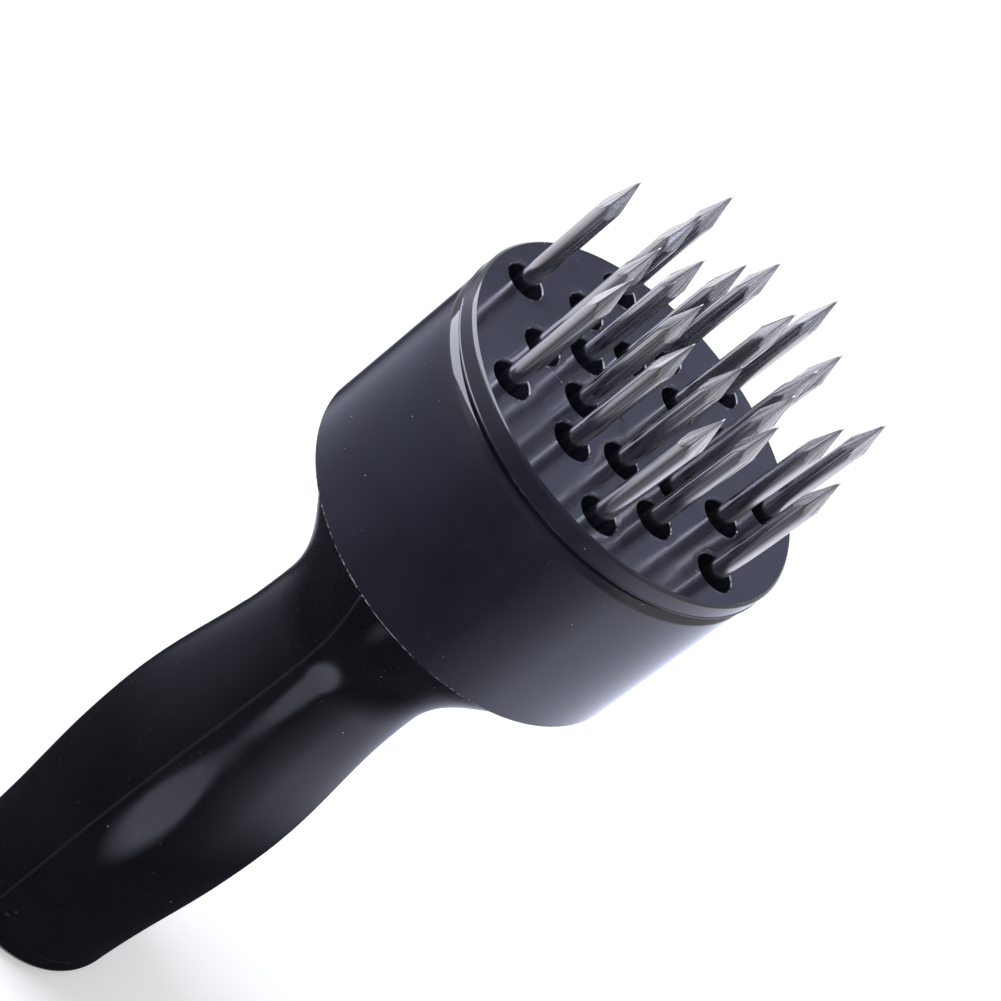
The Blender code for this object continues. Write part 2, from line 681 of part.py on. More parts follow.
def build():
    clear_scene()
    shell_plastic = material("shell_plastic", (0.018, 0.019, 0.024), 0.18)
    guard_plastic = material("guard_plastic", (0.022, 0.023, 0.029), 0.15)
    holder_plastic = material("holder_plastic", (0.030, 0.030, 0.034), 0.40)
    needle_steel = material("needle_steel", (0.62, 0.62, 0.65), 0.28, 1.0)
    plate_steel = material("plate_steel", (0.55, 0.55, 0.56), 0.35, 1.0)
    spring_steel = material("spring_steel", (0.50, 0.50, 0.52), 0.30, 1.0)
    screw_steel = material("screw_steel", (0.60, 0.60, 0.60), 0.30, 1.0)

    half_shell("handle_shell_left", 1, shell_plastic)
    half_shell("handle_shell_right", -1, shell_plastic)
    make_handle_screws(screw_steel)
    make_end_cap(shell_plastic)
    make_holder(holder_plastic)
    make_backing(plate_steel, screw_steel)
    make_needles(needle_steel)
    make_spring(spring_steel)

    guard_axis = bpy.data.objects.new("guard_slide_axis", None)
    guard_axis.location = (0, 0, FACE_HEIGHT)
    bpy.context.scene.collection.objects.link(guard_axis)
    make_face_plate(guard_axis, guard_plastic)
    make_cup(guard_axis, guard_plastic)
    make_stop(guard_axis, plate_steel, screw_steel)


build()
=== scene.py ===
import math

import bmesh
import bpy
from mathutils import Matrix, Vector
from mathutils.geometry import delaunay_2d_cdt, interpolate_bezier


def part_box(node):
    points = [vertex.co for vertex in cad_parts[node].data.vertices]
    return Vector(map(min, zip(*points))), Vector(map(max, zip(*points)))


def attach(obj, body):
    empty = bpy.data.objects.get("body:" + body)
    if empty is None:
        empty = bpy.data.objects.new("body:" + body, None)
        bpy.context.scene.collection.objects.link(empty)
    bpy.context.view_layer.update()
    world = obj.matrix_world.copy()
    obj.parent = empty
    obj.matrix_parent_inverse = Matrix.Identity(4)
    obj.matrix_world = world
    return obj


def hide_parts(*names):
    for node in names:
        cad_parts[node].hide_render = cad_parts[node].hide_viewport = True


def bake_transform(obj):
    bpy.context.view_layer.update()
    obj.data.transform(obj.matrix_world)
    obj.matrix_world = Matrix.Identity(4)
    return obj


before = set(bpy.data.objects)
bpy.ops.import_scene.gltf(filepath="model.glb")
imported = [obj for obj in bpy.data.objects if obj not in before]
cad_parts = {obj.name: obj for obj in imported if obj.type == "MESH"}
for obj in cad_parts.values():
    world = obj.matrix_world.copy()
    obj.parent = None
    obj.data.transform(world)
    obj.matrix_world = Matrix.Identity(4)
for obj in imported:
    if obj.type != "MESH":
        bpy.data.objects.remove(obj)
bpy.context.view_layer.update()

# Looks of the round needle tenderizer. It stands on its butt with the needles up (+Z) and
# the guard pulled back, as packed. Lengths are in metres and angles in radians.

MM = 0.001

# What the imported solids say
FACE_LOW, FACE_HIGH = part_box("guard_face_plate")
CUP_LOW, CUP_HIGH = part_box("guard_cup")
HOLDER_LOW, HOLDER_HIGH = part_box("needle_holder")
SHELL_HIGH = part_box("handle_shell_right")[1]
CAP_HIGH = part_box("end_cap")[1]
SPRING_LOW, SPRING_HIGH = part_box("return_spring")
FACE = FACE_HIGH.z
FACE_RADIUS = FACE_HIGH.x
CUP_REAR_RADIUS = CUP_HIGH.x
HEAD_RADIUS = HOLDER_HIGH.x
CAP_RADIUS = CAP_HIGH.x
NEEDLE_NODES = [
    f"needle_{ring}_{number}" for ring in ("inner", "middle", "outer") for number in range(1, 8)
]

# Guard
RIM_THICKNESS = 3.2 * MM
FACE_CHAMFER = 0.42 * MM
CHAMFER_BULGE = 0.44  # where a crowned chamfer bends, as a share of it
SEAM_CHAMFER = 0.4 * MM
WITNESS_STEP = 0.11 * MM  # small step round the rim, over the seam
SPIGOT_DEPTH = 1.2 * MM
SPIGOT_RADIUS = 25.1 * MM
POST_RADIUS = 4.0 * MM
PILOT_RADIUS = 1.8 * MM
PILOT_DEPTH = 12.3 * MM
HOLE_RADIUS = 2.8 * MM
HOLE_CHAMFER = 0.18 * MM
SINK_RADIUS = 3.95 * MM  # faint sink mark round each hole
SINK_DEPTH = 0.012 * MM
SINK_PROFILE = ((0, 0), (0.25, 0.15), (0.5, 0.7), (0.7, 1))  # mm inwards, share of depth
GATE_PLACE = (-1.5 * MM, -4.0 * MM)
GATE_RADIUS = 0.85 * MM
GATE_DEPTH = 0.22 * MM
GATE_PROFILE = ((1, 0), (0.93, 0.1), (0.8, 0.62), (0.62, 0.95), (0.32, 1), (0, 0.75))
CUP_FRONT_RADIUS = 27.3 * MM
CUP_BORE_RADIUS = 25.4 * MM
CUP_FRONT_CHAMFER = 1.35 * MM
CUP_CHAMFER_ROUNDS = (0.12, 3.5, 0.35)  # of its corners, as shares of it
CUP_BORE_MOUTH = (0.35 * MM, 0.45 * MM)  # across and along
CUP_REAR_ROUND = 0.4 * MM
# The rear rim's light band is partly real scuffing and partly a painted highlight, strongest on
# the front side.
RIM_SCUFF_AND_HIGHLIGHT = 0.38 * MM  # how far up the rear rim the real scuffs and the painted highlight reach
SCUFFED_AND_LIT_SIDE = (-0.6, -0.8, 0.0)  # the side of the rim where the scuffs and the painted highlight are strongest
SCUFFED_AND_LIT_REACH = (19.5 * MM, 24.5 * MM)  # how far out on that side it starts and is full
RIM_BAND = 0.16 * MM  # flat rings just inside the face's rim
EASE = 0.12 * MM  # round of a plain edge

# Needle holder
POCKET_RADIUS = 6.4 * MM
HUB_RADIUS = 8.3 * MM
COLLAR_RADIUS = 10.5 * MM
GUIDE_RADIUS = 4.3 * MM
HOLDER_THICKNESS = 8.5 * MM
COLLAR_TOP = 121.6 * MM
COLLAR_BOTTOM = 119.1 * MM
SPRING_LEDGE = 115.0 * MM
SOCKET_RADIUS = 1.45 * MM

# Needles
NEEDLE_RADIUS = 1.35 * MM
POINT_LENGTH = 7.0 * MM
POINT_FACETS = 4
FACET_SPREAD = (-45, -34, -26, -17, -9, 0, 9, 17, 26, 34)  # degrees from a facet's middle
FACET_ROWS = 8
FACET_CROWN = 0.06  # how far a facet's middle stands out, as a share of its half width
CREASE_SOFTNESS = 0.25 * MM
BUTT_EASE = 0.12  # of a needle's radius
POINT_BLUNTNESS = 0.015 * MM
POINT_TURN = math.radians(75)
POINT_STRAY = math.radians(8)
POINT_STRAY_STEP = math.radians(137.5)
NEEDLE_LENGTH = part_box("needle_inner_1")[1].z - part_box("needle_inner_1")[0].z
# Length over which painted shade darkens the needles' points towards the tip
TIP_PAINTED_SHADE_LENGTH = 2.4 * MM

# Handle
HEAD_WALL = 2.2 * MM
HEAD_BOTTOM = 106.6 * MM
WEB_TOP = 124.4 * MM
WEB_BOTTOM = 121.9 * MM
WEB_GAP = 0.3 * MM
LIP_ROUND = 0.3 * MM
NECK_HEIGHT = 82.0 * MM
NECK_RADIUS = 13.6 * MM
SHOULDER_KNOT = (0.605, 0.285)  # shares of its draw-in and drop
NECK_PULL = 0.614
SWELL_RADIUS = 16.6 * MM
GRIP_END_RADIUS = 14.8 * MM
GRIP_BOTTOM = 5.12 * MM
GRIP_LEAN = 0.25
GRIP_WALL = 2.2 * MM
SWELL_SHARE = 0.48
SWELL_PULL = 0.42
PARTING_AZIMUTH = math.radians(78)
PARTING_GAP = 0.05 * MM
PARTING_CHAMFER = 0.11 * MM
BORE_HEIGHTS = [
    (low.z + high.z) / 2 for low, high in (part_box(f"handle_screw_{n}") for n in (1, 2, 3))
]
BOSS_RADIUS = 3.8 * MM
SHANK_BORE = 1.8 * MM
PILOT_END = 7.45 * MM
HEAD_BORE = 3.1 * MM
HEAD_SEAT = 6.15 * MM
MOUTH_REACH = 0.6 * MM
MOUTH_FLARE = 0.7 * MM
CUT_MARGIN = 1 * MM
SCREW_RADIUS = 1.5 * MM
SCREW_HEAD_RADIUS = 2.8 * MM
SCREW_HEAD_HEIGHT = 1.8 * MM
SCREW_HEAD_PLACE = 6.45 * MM
SCREW_HEAD = ((0, 1, 0), (0.72, 0.97, 0.3), (1, 0.42, 0.14))  # shares of radius, height, radius
SCREW_NECK = 0.86
SCREW_SPIN = (0.4, 1.1)  # the first screw's, less one step, and the step
SCREW_BITE = 13.45 * MM
SCREW_TIP = (0.7, 0.5 * MM)
THREAD_PITCH = 0.9 * MM
THREAD_START = 1.2 * MM
THREAD_SPARE = 2.4 * MM  # length without thread
THREAD_PROFILE = ((0.8, 0), (1, 0.35), (1, 0.5), (0.8, 0.85))  # shares of radius and pitch
CROSS_DEPTH = 1.2 * MM
CROSS_MOUTH = 1.7 * MM
CROSS_FOOT = 0.7 * MM
CROSS_WIDTH = 0.36 * MM
CROSS_TAPER = 0.8

# Butt
CAP_ROUND = 2.5 * MM
CAP_THICKNESS = 5.0 * MM
CAP_GAP = 0.3 * MM
CAP_HOLLOW_DEPTH = 0.25 * MM
CAP_HOLLOW = ((0.42, 0.6 * MM), (0.47, 0.4 * MM))  # share of the radius, round
CAP_STEPS = 10
CAP_SPIGOT_RADIUS = 12.3 * MM
CAP_SPIGOT_BORE = 10.3 * MM

# Spring
WIRE_RADIUS = 0.4 * MM
SPRING_RADIUS = 5.5 * MM
SPRING_CURLS = 9
SPRING_DEAD_CURLS = 1.0  # closed, at each end
SPRING_DEAD_RISE = WIRE_RADIUS * 2.1
SPRING_STEPS = 48  # for each curl
WIRE_SIDES = 14

# Facets of the round surfaces
ROUND_SIDES = 144
HOLE_SIDES = 40
SHANK_SIDES = POINT_FACETS * len(FACET_SPREAD)
ARC_STEPS = 6
CURVE_STEPS = 26
LIP_STEPS = 3
CRISP_ANGLE = math.radians(35)
SHELL_CRISP_ANGLE = math.radians(28)
WELD_DISTANCE = 1e-6
TRIANGLE_SLACK = 1e-6
MITRE_LIMIT = 0.5

# Camera
CAMERA_PLACE = (-0.01384, -0.26307, 0.29175)
CAMERA_HEADING = math.radians(87.58)
CAMERA_DIP = math.radians(33.76)
CAMERA_ROLL = math.radians(51.68)
SENSOR_WIDTH = 36.0
LENS = 86.3
CLIP_RANGE = (0.01, 50.0)

# Studio: directions point from the part outwards
FLOOR_LIFT = 0.4
FLOOR_RADIUS = 6.0
FLOOR_SIDES = 96
FLOOR_COLOUR = (0.84, 0.84, 0.85)
FLOOR_ROUGHNESS = 0.9
FLOOR_SHINE = 0.1
WHITE = (1, 1, 1)
SKY_LIGHT = 0.5
SKY_COLOUR = (0.96, 0.98, 1.0)
SKY_PATCHES = (  # direction, cosines from it at the edge and the core, colour
    ((0.05, 0.86, 0.5), (0.8, 0.95), (0.66, 0.7, 1.0)),
    ((-0.14, 0.93, 0.34), (0.97, 0.988), (0.24, 0.23, 0.28)),
    ((0.1, -0.86, 0.5), (0.45, 0.8), (0.2, 0.205, 0.26)),
)
KEY_WAY = (-0.732, -0.016, 0.681)
KEY_LENGTHWISE = (0.39, -0.83, 0.41)
KEY_DISTANCE = 1.2
KEY_SIZE = (0.42, 0.95)
KEY_POWER = 11.6
KEY_COLOUR = (0.88, 0.92, 1.0)
KEY_SHEEN = (8.2, 8.4, 10.0)
KEY_OUTLINE = (  # azimuths and elevations in degrees
    (158, 8), (134, 22), (150, 38), (166, 50), (186, 60), (207, 64),
    (219, 58), (214, 52), (204, 45), (196, 36), (188, 27), (182, 18),
)
# The card below is painted reflections that only gloss and metal show: its dark and bright
# tones stand in for shade and light round the part.
CARD_HEIGHT = 2 * MM
LOW_TONES = (  # azimuth in degrees and tone of the card's inner part, which the cup shows
    (-180, 0.42), (-150, 0.3), (-118, 0.12), (-92, 0.06), (-66, 0.1), (-42, 0.6),
    (-20, 1.4), (92, 1.5), (108, 1.1), (114, 0.08), (124, 0.08), (140, 0.66), (180, 0.42),
)
HIGH_TONES = (  # the same for its outer part, which the needles show
    (-180, 1.0), (-152, 0.9), (-132, 0.66), (-112, 0.2), (-88, 0.12), (-80, 0.4),
    (-70, 0.12), (-50, 0.2), (-30, 0.55), (-12, 0.95), (12, 1.15), (92, 1.2),
    (112, 0.95), (118, 0.55), (124, 0.6), (136, 1.05), (180, 1.0),
)
POINT_TONES = (  # the same for its rim, which the needles' points show
    (-180, 0.85), (-162, 0.3), (-145, 0.1), (-62, 0.1), (-48, 0.4),
    (-22, 0.95), (5, 1.2), (90, 1.3), (148, 1.5), (180, 0.85),
)
LOW_TINT = (0.9, 0.94, 1.18)
HIGH_TINT = (0.985, 0.97, 1.02)
CARD_NEAR = (0.05, 0.17)  # radii between which the card's dark middle, a painted shade, ends
CARD_NEAR_TONE = (0.02, 0.021, 0.028)
CARD_MIDDLE = (0.225, 0.265)  # radii between the inner and the outer part
CARD_OUTER = (0.33, 0.4)  # radii between the outer part and the rim
CARD_FAR = (3.0, 5.5)  # radii between which the card turns white
# A bright patch on the card, which the handle shows as a painted reflection streak
STREAK_SCALES = (1.7, 1.0, 1.0)  # the streak's own coordinates are this many times the card's
STREAK_PLACE = (0.02, -0.088, 0.0)
STREAK_RADII = (0.051, 0.034)
STREAK_TONE = (1.0, 1.05, 1.32)


# Meshes


def rounded(corners, steps=ARC_STEPS, closed=False):
    """An outline of (radius, height) points from corners of (radius, height, round)."""
    line = []
    last = len(corners) - 1
    for n, (r, z, fillet) in enumerate(corners):
        here = Vector((r, z))
        if fillet == 0 or (not closed and n in (0, last)):
            line.append(tuple(here))
            continue
        before = (Vector(corners[n - 1][:2]) - here).normalized()
        after = (Vector(corners[(n + 1) % len(corners)][:2]) - here).normalized()
        half = before.angle(after) / 2
        centre = here + (before + after).normalized() * (fillet / math.sin(half))
        start = here + before * (fillet / math.tan(half)) - centre
        end = here + after * (fillet / math.tan(half)) - centre
        for step in range(steps + 1):
            line.append(tuple(centre + start.slerp(end, step / steps) * fillet))
    return line


def ring(shape, place, radius, height, sides):
    """A loop of points round an upright axis, or one point where the radius is nothing."""
    if radius == 0:
        return [shape.verts.new((place[0], place[1], height))]
    loop = []
    for n in range(sides):
        angle = math.tau * n / sides
        x, y = place[0] + radius * math.cos(angle), place[1] + radius * math.sin(angle)
        loop.append(shape.verts.new((x, y, height)))
    return loop


def join_loops(shape, loops, capped=False):
    """Faces between each loop of points and the next, and over the first and last if capped."""
    for one, other in zip(loops, loops[1:]):
        for n in range(max(len(one), len(other))):
            corners = [one[n % len(one)], one[(n + 1) % len(one)]]
            corners += [other[(n + 1) % len(other)], other[n % len(other)]]
            kept = [c for m, c in enumerate(corners) if c not in corners[:m]]
            if len(kept) > 2:
                shape.faces.new(kept)
    if capped:
        shape.faces.new(loops[0])
        shape.faces.new(loops[-1])


def turn(shape, outline, sides=ROUND_SIDES, place=(0, 0), closed=False):
    """Adds an outline of (radius, height) points, turned about an upright axis."""
    loops = [ring(shape, place, radius, height, sides) for radius, height in outline]
    join_loops(shape, loops + loops[:1] if closed else loops)


def perforated(shape, height, edge, holes):
    """Adds a flat round face out to an edge, with holes, each (x, y, radius, sides)."""
    points, links = [], []
    for x, y, radius, sides in [(0, 0, edge, ROUND_SIDES), *holes]:
        first = len(points)
        for n in range(sides):
            angle = math.tau * n / sides
            spot = Vector((x + radius * math.cos(angle), y + radius * math.sin(angle)))
            points.append(spot / MM)
        links += [(first + n, first + (n + 1) % sides) for n in range(sides)]
    spots, _, faces, *_ = delaunay_2d_cdt(points, links, [], 0, TRIANGLE_SLACK)
    corners = [shape.verts.new((spot.x * MM, spot.y * MM, height)) for spot in spots]
    for face in faces:
        middle = sum((spots[n] for n in face), Vector((0, 0))) * MM / len(face)
        if any((middle - Vector(hole[:2])).length < hole[2] for hole in holes):
            continue
        shape.faces.new([corners[n] for n in face])
    loose = [corner for corner in corners if not corner.link_faces]
    bmesh.ops.delete(shape, geom=loose, context="VERTS")


def mesh_of(shape, name, welded=True):
    """Ends a bmesh as a mesh whose faces look out."""
    if welded:
        bmesh.ops.remove_doubles(shape, verts=shape.verts, dist=WELD_DISTANCE)
    bmesh.ops.recalc_face_normals(shape, faces=shape.faces)
    mesh = bpy.data.meshes.new(name)
    shape.to_mesh(mesh)
    shape.free()
    return mesh


def smooth(mesh, angle=CRISP_ANGLE):
    """Smooth shading, but for edges sharper than an angle."""
    mesh.shade_smooth()
    mesh.set_sharp_from_angle(angle=angle)


def placed(name, data):
    """A new object in the scene."""
    piece = bpy.data.objects.new(name, data)
    bpy.context.scene.collection.objects.link(piece)
    return piece


def show(name, mesh, body, surfaces, slot, nodes, place=None, weighted=True):
    """Puts a finished piece in the scene, on its body if any, in place of its CAD nodes."""
    piece = placed(name, mesh)
    if place is not None:
        piece.matrix_world = place
    for surface in surfaces:
        mesh.materials.append(surface)
    if weighted:
        even = piece.modifiers.new("even_normals", "WEIGHTED_NORMAL")
        even.keep_sharp = True
    if body is not None:
        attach(piece, body)
    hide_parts(*nodes)
    return piece


def show_whole(name, shape, body, surface, slot, node):
    """Ends and shows a piece of one finish."""
    mesh = mesh_of(shape, name)
    smooth(mesh)
    show(name, mesh, body, [surface], slot, [node])


def node_centre(node):
    low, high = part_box(node)
    return ((low.x + high.x) / 2, (low.y + high.y) / 2)


NEEDLE_PLACES = [node_centre(node) for node in NEEDLE_NODES]


def needle_holes(radius):
    return [(x, y, radius, HOLE_SIDES) for x, y in NEEDLE_PLACES]


# Materials


class Nodes:
    """The node tree of a material or world, and short ways to add to it."""

    def __init__(self, made):
        self.made = made
        made.use_nodes = True
        self.tree = made.node_tree

    def add(self, kind, settings=None, **plugs):
        """A shader node, its settings, and its inputs by name (_ for a space) or number."""
        node = self.tree.nodes.new("ShaderNode" + kind)
        for key, value in (settings or {}).items():
            setattr(node, key, value)
        for key, value in plugs.items():
            key = int(key[2:]) if key.startswith("in") else key.replace("_", " ")
            self.plug(node.inputs[key], value)
        return node

    def plug(self, socket, value):
        if isinstance(value, bpy.types.NodeSocket):
            self.tree.links.new(value, socket)
        else:
            socket.default_value = value

    def math(self, operation, one, other=0.0):
        node = self.add("Math", {"operation": operation}, in0=one, in1=other)
        return node.outputs[0]

    def times(self, one, other):
        return self.math("MULTIPLY", one, other)

    def plus(self, one, other):
        return self.math("ADD", one, other)

    def vector(self, operation, one, other=(0, 0, 0), result="Vector"):
        node = self.add("VectorMath", {"operation": operation}, in0=one, in1=other)
        return node.outputs[result]

    def ranged(self, value, low, high, to_low=0.0, to_high=1.0):
        """The value between low and high, spread smoothly over another range."""
        node = self.add("MapRange", {"interpolation_type": "SMOOTHSTEP"}, Value=value)
        plugs = (("From Min", low), ("From Max", high), ("To Min", to_low), ("To Max", to_high))
        for key, limit in plugs:
            self.plug(node.inputs[key], limit)
        return node.outputs["Result"]

    def blend(self, amount, one, other):
        """A colour between two, by an amount from 0 to 1."""
        node = self.add("Mix", {"data_type": "RGBA"}, in0=amount)
        for key, value in ((6, one), (7, other)):
            if not isinstance(value, bpy.types.NodeSocket):
                value = (*value, 1.0)
            self.plug(node.inputs[key], value)
        return node.outputs[2]


class Surface(Nodes):
    """One procedural material, built node by node on the piece's own coordinates."""

    def __init__(self, name, colour, roughness, metallic=0.0):
        super().__init__(bpy.data.materials.new(name))
        self.plugs = self.tree.nodes["Principled BSDF"].inputs
        self.plugs["Base Color"].default_value = (*colour, 1.0)
        self.plugs["Roughness"].default_value = roughness
        self.plugs["Metallic"].default_value = metallic
        self.spot = self.add("TexCoord").outputs["Object"]

    def fanned(self, radius):
        """The piece's coordinates, drawn out from its upright axis to one radius."""
        way = self.vector("NORMALIZE", self.vector("MULTIPLY", self.spot, (1, 1, 0)))
        flat = self.vector("MULTIPLY", way, (radius, radius, 0))
        return self.vector("ADD", flat, self.vector("MULTIPLY", self.spot, (0, 0, 1)))

    def stretched(self, scale, turned=(0, 0, 0), shift=None, spot=None):
        """The piece's coordinates or others, turned and scaled unevenly."""
        spot = spot or self.spot
        if shift is not None:
            spot = self.vector("ADD", spot, shift)
        node = self.add("Mapping", Vector=spot, Rotation=turned, Scale=scale)
        return node.outputs["Vector"]

    def noise(self, scale, detail, rough, spot=None):
        plugs = {"Scale": scale, "Detail": detail, "Roughness": rough}
        return self.add("TexNoise", Vector=spot or self.spot, **plugs).outputs[0]

    def mask(self, noise, limits, spot=None):
        """Where a noise is over a range."""
        return self.ranged(self.noise(*noise, spot), *limits)

    def specks(self, scale, radius, share):
        """Small round dots: one in some of the cells of a cell pattern."""
        cells = self.add("TexVoronoi", Vector=self.spot, Scale=scale)
        parts = self.add("SeparateColor", Color=cells.outputs["Color"])
        near = self.math("LESS_THAN", cells.outputs["Distance"], radius)
        picked = self.math("LESS_THAN", parts.outputs[0], share)
        return self.times(near, picked)

    def bump(self, height, distance, strength=1.0, below=None):
        node = self.add("Bump", Strength=strength, Distance=distance, Height=height)
        if below is not None:
            self.plug(node.inputs["Normal"], below)
        return node.outputs["Normal"]

    def toned(self, amount, colour, shades):
        """A colour between two shades of it."""
        return self.blend(amount, *[shaded(colour, shade) for shade in shades])

    def laid(self, mask, base, look):
        """A colour laid over the base where a mask is, by the look's share."""
        return self.blend(self.times(mask, look[0]), base, look[1])

    def roughened(self, value, limits, middle, spread):
        """A roughness that follows a value, from under its middle to over it."""
        return self.ranged(value, *limits, middle - spread[0], middle + spread[1])

    def finish(self, base, rough, normal):
        for key, value in (("Base Color", base), ("Roughness", rough), ("Normal", normal)):
            self.plug(self.plugs[key], value)
        return self.made


def shaded(colour, share):
    return tuple(channel * share for channel in colour)


# Looks of the materials. A noise is its scale (1 where its coordinates are stretched), detail
# and roughness. A range is where a mask starts and where it is full, and a mask here is a noise
# and its range. Shades are shares of a colour, a look is the share and colour of what lies on
# it, and MATT is what that adds to the roughness.
GUARD_BLACK = (0.016, 0.017, 0.028)
HANDLE_BLACK = (0.007, 0.007, 0.01)
MID_RANGE = (0.3, 0.7)
FINE_LINES = (1, 3, 0.5)
SMOOTH_LINES = (1, 2, 0.5)

FLOW_NOISE = (70, 3, 0.5)
FLOW_SHADES = (0.85, 1.18)
HAZE_MASK = ((110, 5, 0.6), (0.45, 0.7))
POLISH = 0.02
GRAIN_NOISE = (2600, 2, 0.5)
GRAIN_MATT = 0.03
WAVE_NOISE = (420, 2, 0.5)
GLOSS_IOR = 1.5
HAIRLINES = (  # stretch, turn, range
    ((90, 5200, 700), (0.3, 0.5, 0.7), (0.69, 0.74)),
    ((4700, 120, 900), (0.9, 0.2, 0.4), (0.7, 0.75)),
)
HAIRLINE_LOOK = (0.1, (0.2, 0.2, 0.23))
HAIRLINE_MATT = 0.12
HAIRLINE_DEPTH = 0.002 * MM
# Light edges: partly real rubbing, partly painted glints on edges and hole lips
EDGE_RANGE = (0.56, 0.66)
EDGE_STRAY = 0.03
EDGE_MASK = ((900, 4, 0.7), (0.42, 0.62))
EDGE_COLOUR = (0.3, 0.3, 0.34)
EDGE_MATT = 0.25
# Rear rim band: partly real scuffs, partly a painted highlight
SCUFF_AND_HIGHLIGHT_MASK = ((1500, 3, 0.7), (0.46, 0.6))
PATCH_MASK = ((38, 2, 0.5), (0.38, 0.56))
PATCH_SHARE = 0.7
SCUFF_AND_HIGHLIGHT_LOOK = (0.9, (0.55, 0.55, 0.6))
DUST_SCALES = (600, 1300)
DUST_RADIUS = 0.06
FINE_DUST_PART = 4  # the share of fine dust is this part of the other's
DUST_LOOK = (0.9, (0.6, 0.6, 0.63))
DUST_MATT = 0.7


def gloss_plastic(name, colour, roughness, haze, dust, edge_wear_and_glint, waviness, rim=0.0, flat=None):
    """Moulded gloss plastic. Its light edges are partly real rubbing and partly painted glints.
    It may have a rim band at a height, partly real scuffs and partly a painted highlight, and a
    flat face kept free of the edge marks.
    """
    s = Surface(name, colour, roughness)
    flow = s.noise(*FLOW_NOISE)
    patches = s.mask(*HAZE_MASK)
    grain = s.noise(*GRAIN_NOISE)
    one, other = [s.mask(FINE_LINES, limits, s.stretched(*way)) for *way, limits in HAIRLINES]
    hairlines = s.math("MAXIMUM", one, other)
    # Light edges, partly real rubbing and partly painted glints on edges and hole lips
    pointed = s.add("NewGeometry").outputs["Pointiness"]
    broken = s.mask(*EDGE_MASK)
    edges = s.ranged(s.plus(pointed, s.times(patches, EDGE_STRAY)), *EDGE_RANGE)
    height = s.add("SeparateXYZ", Vector=s.spot).outputs["Z"]
    worn_and_glinting = s.times(edges, s.times(broken, edge_wear_and_glint))
    if flat is not None:
        worn_and_glinting = s.times(worn_and_glinting, s.math("LESS_THAN", height, flat - SINK_DEPTH / 2))
    # Rear rim band, partly real scuffs and partly a painted highlight laid into the colour
    near_rim = s.math("COMPARE", height, rim)
    near_rim.node.inputs[2].default_value = RIM_SCUFF_AND_HIGHLIGHT
    scuffs_and_glints = s.mask(*SCUFF_AND_HIGHLIGHT_MASK)
    lightly_scuffed_and_lit = s.mask(*PATCH_MASK)
    heavily_scuffed_and_lit = s.ranged(s.vector("DOT_PRODUCT", s.spot, SCUFFED_AND_LIT_SIDE, "Value"), *SCUFFED_AND_LIT_REACH)
    share = s.math("MAXIMUM", heavily_scuffed_and_lit, s.times(lightly_scuffed_and_lit, PATCH_SHARE))
    scraped_and_highlit = s.times(near_rim, s.times(scuffs_and_glints, share))
    coarse = s.specks(DUST_SCALES[0], DUST_RADIUS, dust)
    fine = s.specks(DUST_SCALES[1], DUST_RADIUS, dust / FINE_DUST_PART)
    specks = s.math("MAXIMUM", coarse, fine)
    base = s.toned(s.ranged(flow, *MID_RANGE), colour, FLOW_SHADES)
    base = s.laid(hairlines, base, HAIRLINE_LOOK)
    base = s.blend(worn_and_glinting, base, EDGE_COLOUR)
    base = s.laid(scraped_and_highlit, base, SCUFF_AND_HIGHLIGHT_LOOK)
    base = s.laid(specks, base, DUST_LOOK)
    rough = s.plus(roughness - POLISH, s.times(patches, haze))
    rough = s.plus(rough, s.times(grain, GRAIN_MATT))
    rough = s.plus(rough, s.times(hairlines, HAIRLINE_MATT))
    rough = s.plus(rough, s.times(worn_and_glinting, EDGE_MATT))
    rough = s.math("MAXIMUM", rough, s.times(specks, DUST_MATT))
    waves = s.bump(s.noise(*WAVE_NOISE), waviness)
    marks = s.bump(hairlines, -HAIRLINE_DEPTH, below=waves)
    s.plugs["IOR"].default_value = GLOSS_IOR
    return s.finish(base, rough, marks)


SPARK_NOISE = (5200, 3, 0.5)
SPARK_DEPTH = 0.01 * MM
SPARK_STRENGTH = 0.8
CLOUD_NOISE = (240, 3, 0.5)
CLOUD_SHADES = (0.75, 1.25)
GRAIN_SPREAD = (0.06, 0.08)  # how far a roughness goes down and up


def matt_plastic(name, colour, roughness):
    """Moulded plastic with a spark-eroded grain."""
    s = Surface(name, colour, roughness)
    pits = s.bump(s.noise(*SPARK_NOISE), SPARK_DEPTH, SPARK_STRENGTH)
    cloud = s.noise(*CLOUD_NOISE)
    rough = s.roughened(cloud, MID_RANGE, roughness, GRAIN_SPREAD)
    return s.finish(s.toned(cloud, colour, CLOUD_SHADES), rough, pits)


METAL_BUMP = 0.5  # of every bump in metal
DRAWN_STRETCH = (9000, 9000, 5)
DRAWN_NOISE = (1, 2, 0.6)
DRAWN_SHADES = (0.9, 1.06)
DRAWN_SPREAD = (0.02, 0.03)
DRAWN_DEPTH = 0.0008 * MM
STREAK_STRETCH = (2600, 2600, 4)
STAIN_STRETCH = (300, 300, 60)
STAIN_RANGE = (0.52, 0.74)
STAIN_LOOK = (0.38, (0.41, 0.34, 0.28))
STAIN_MATT = 0.06
PITS = (1500, 0.1, 0.08)
PIT_SHADE = 0.3
PIT_SHARE = 0.5
PIT_DEPTH = 0.008 * MM


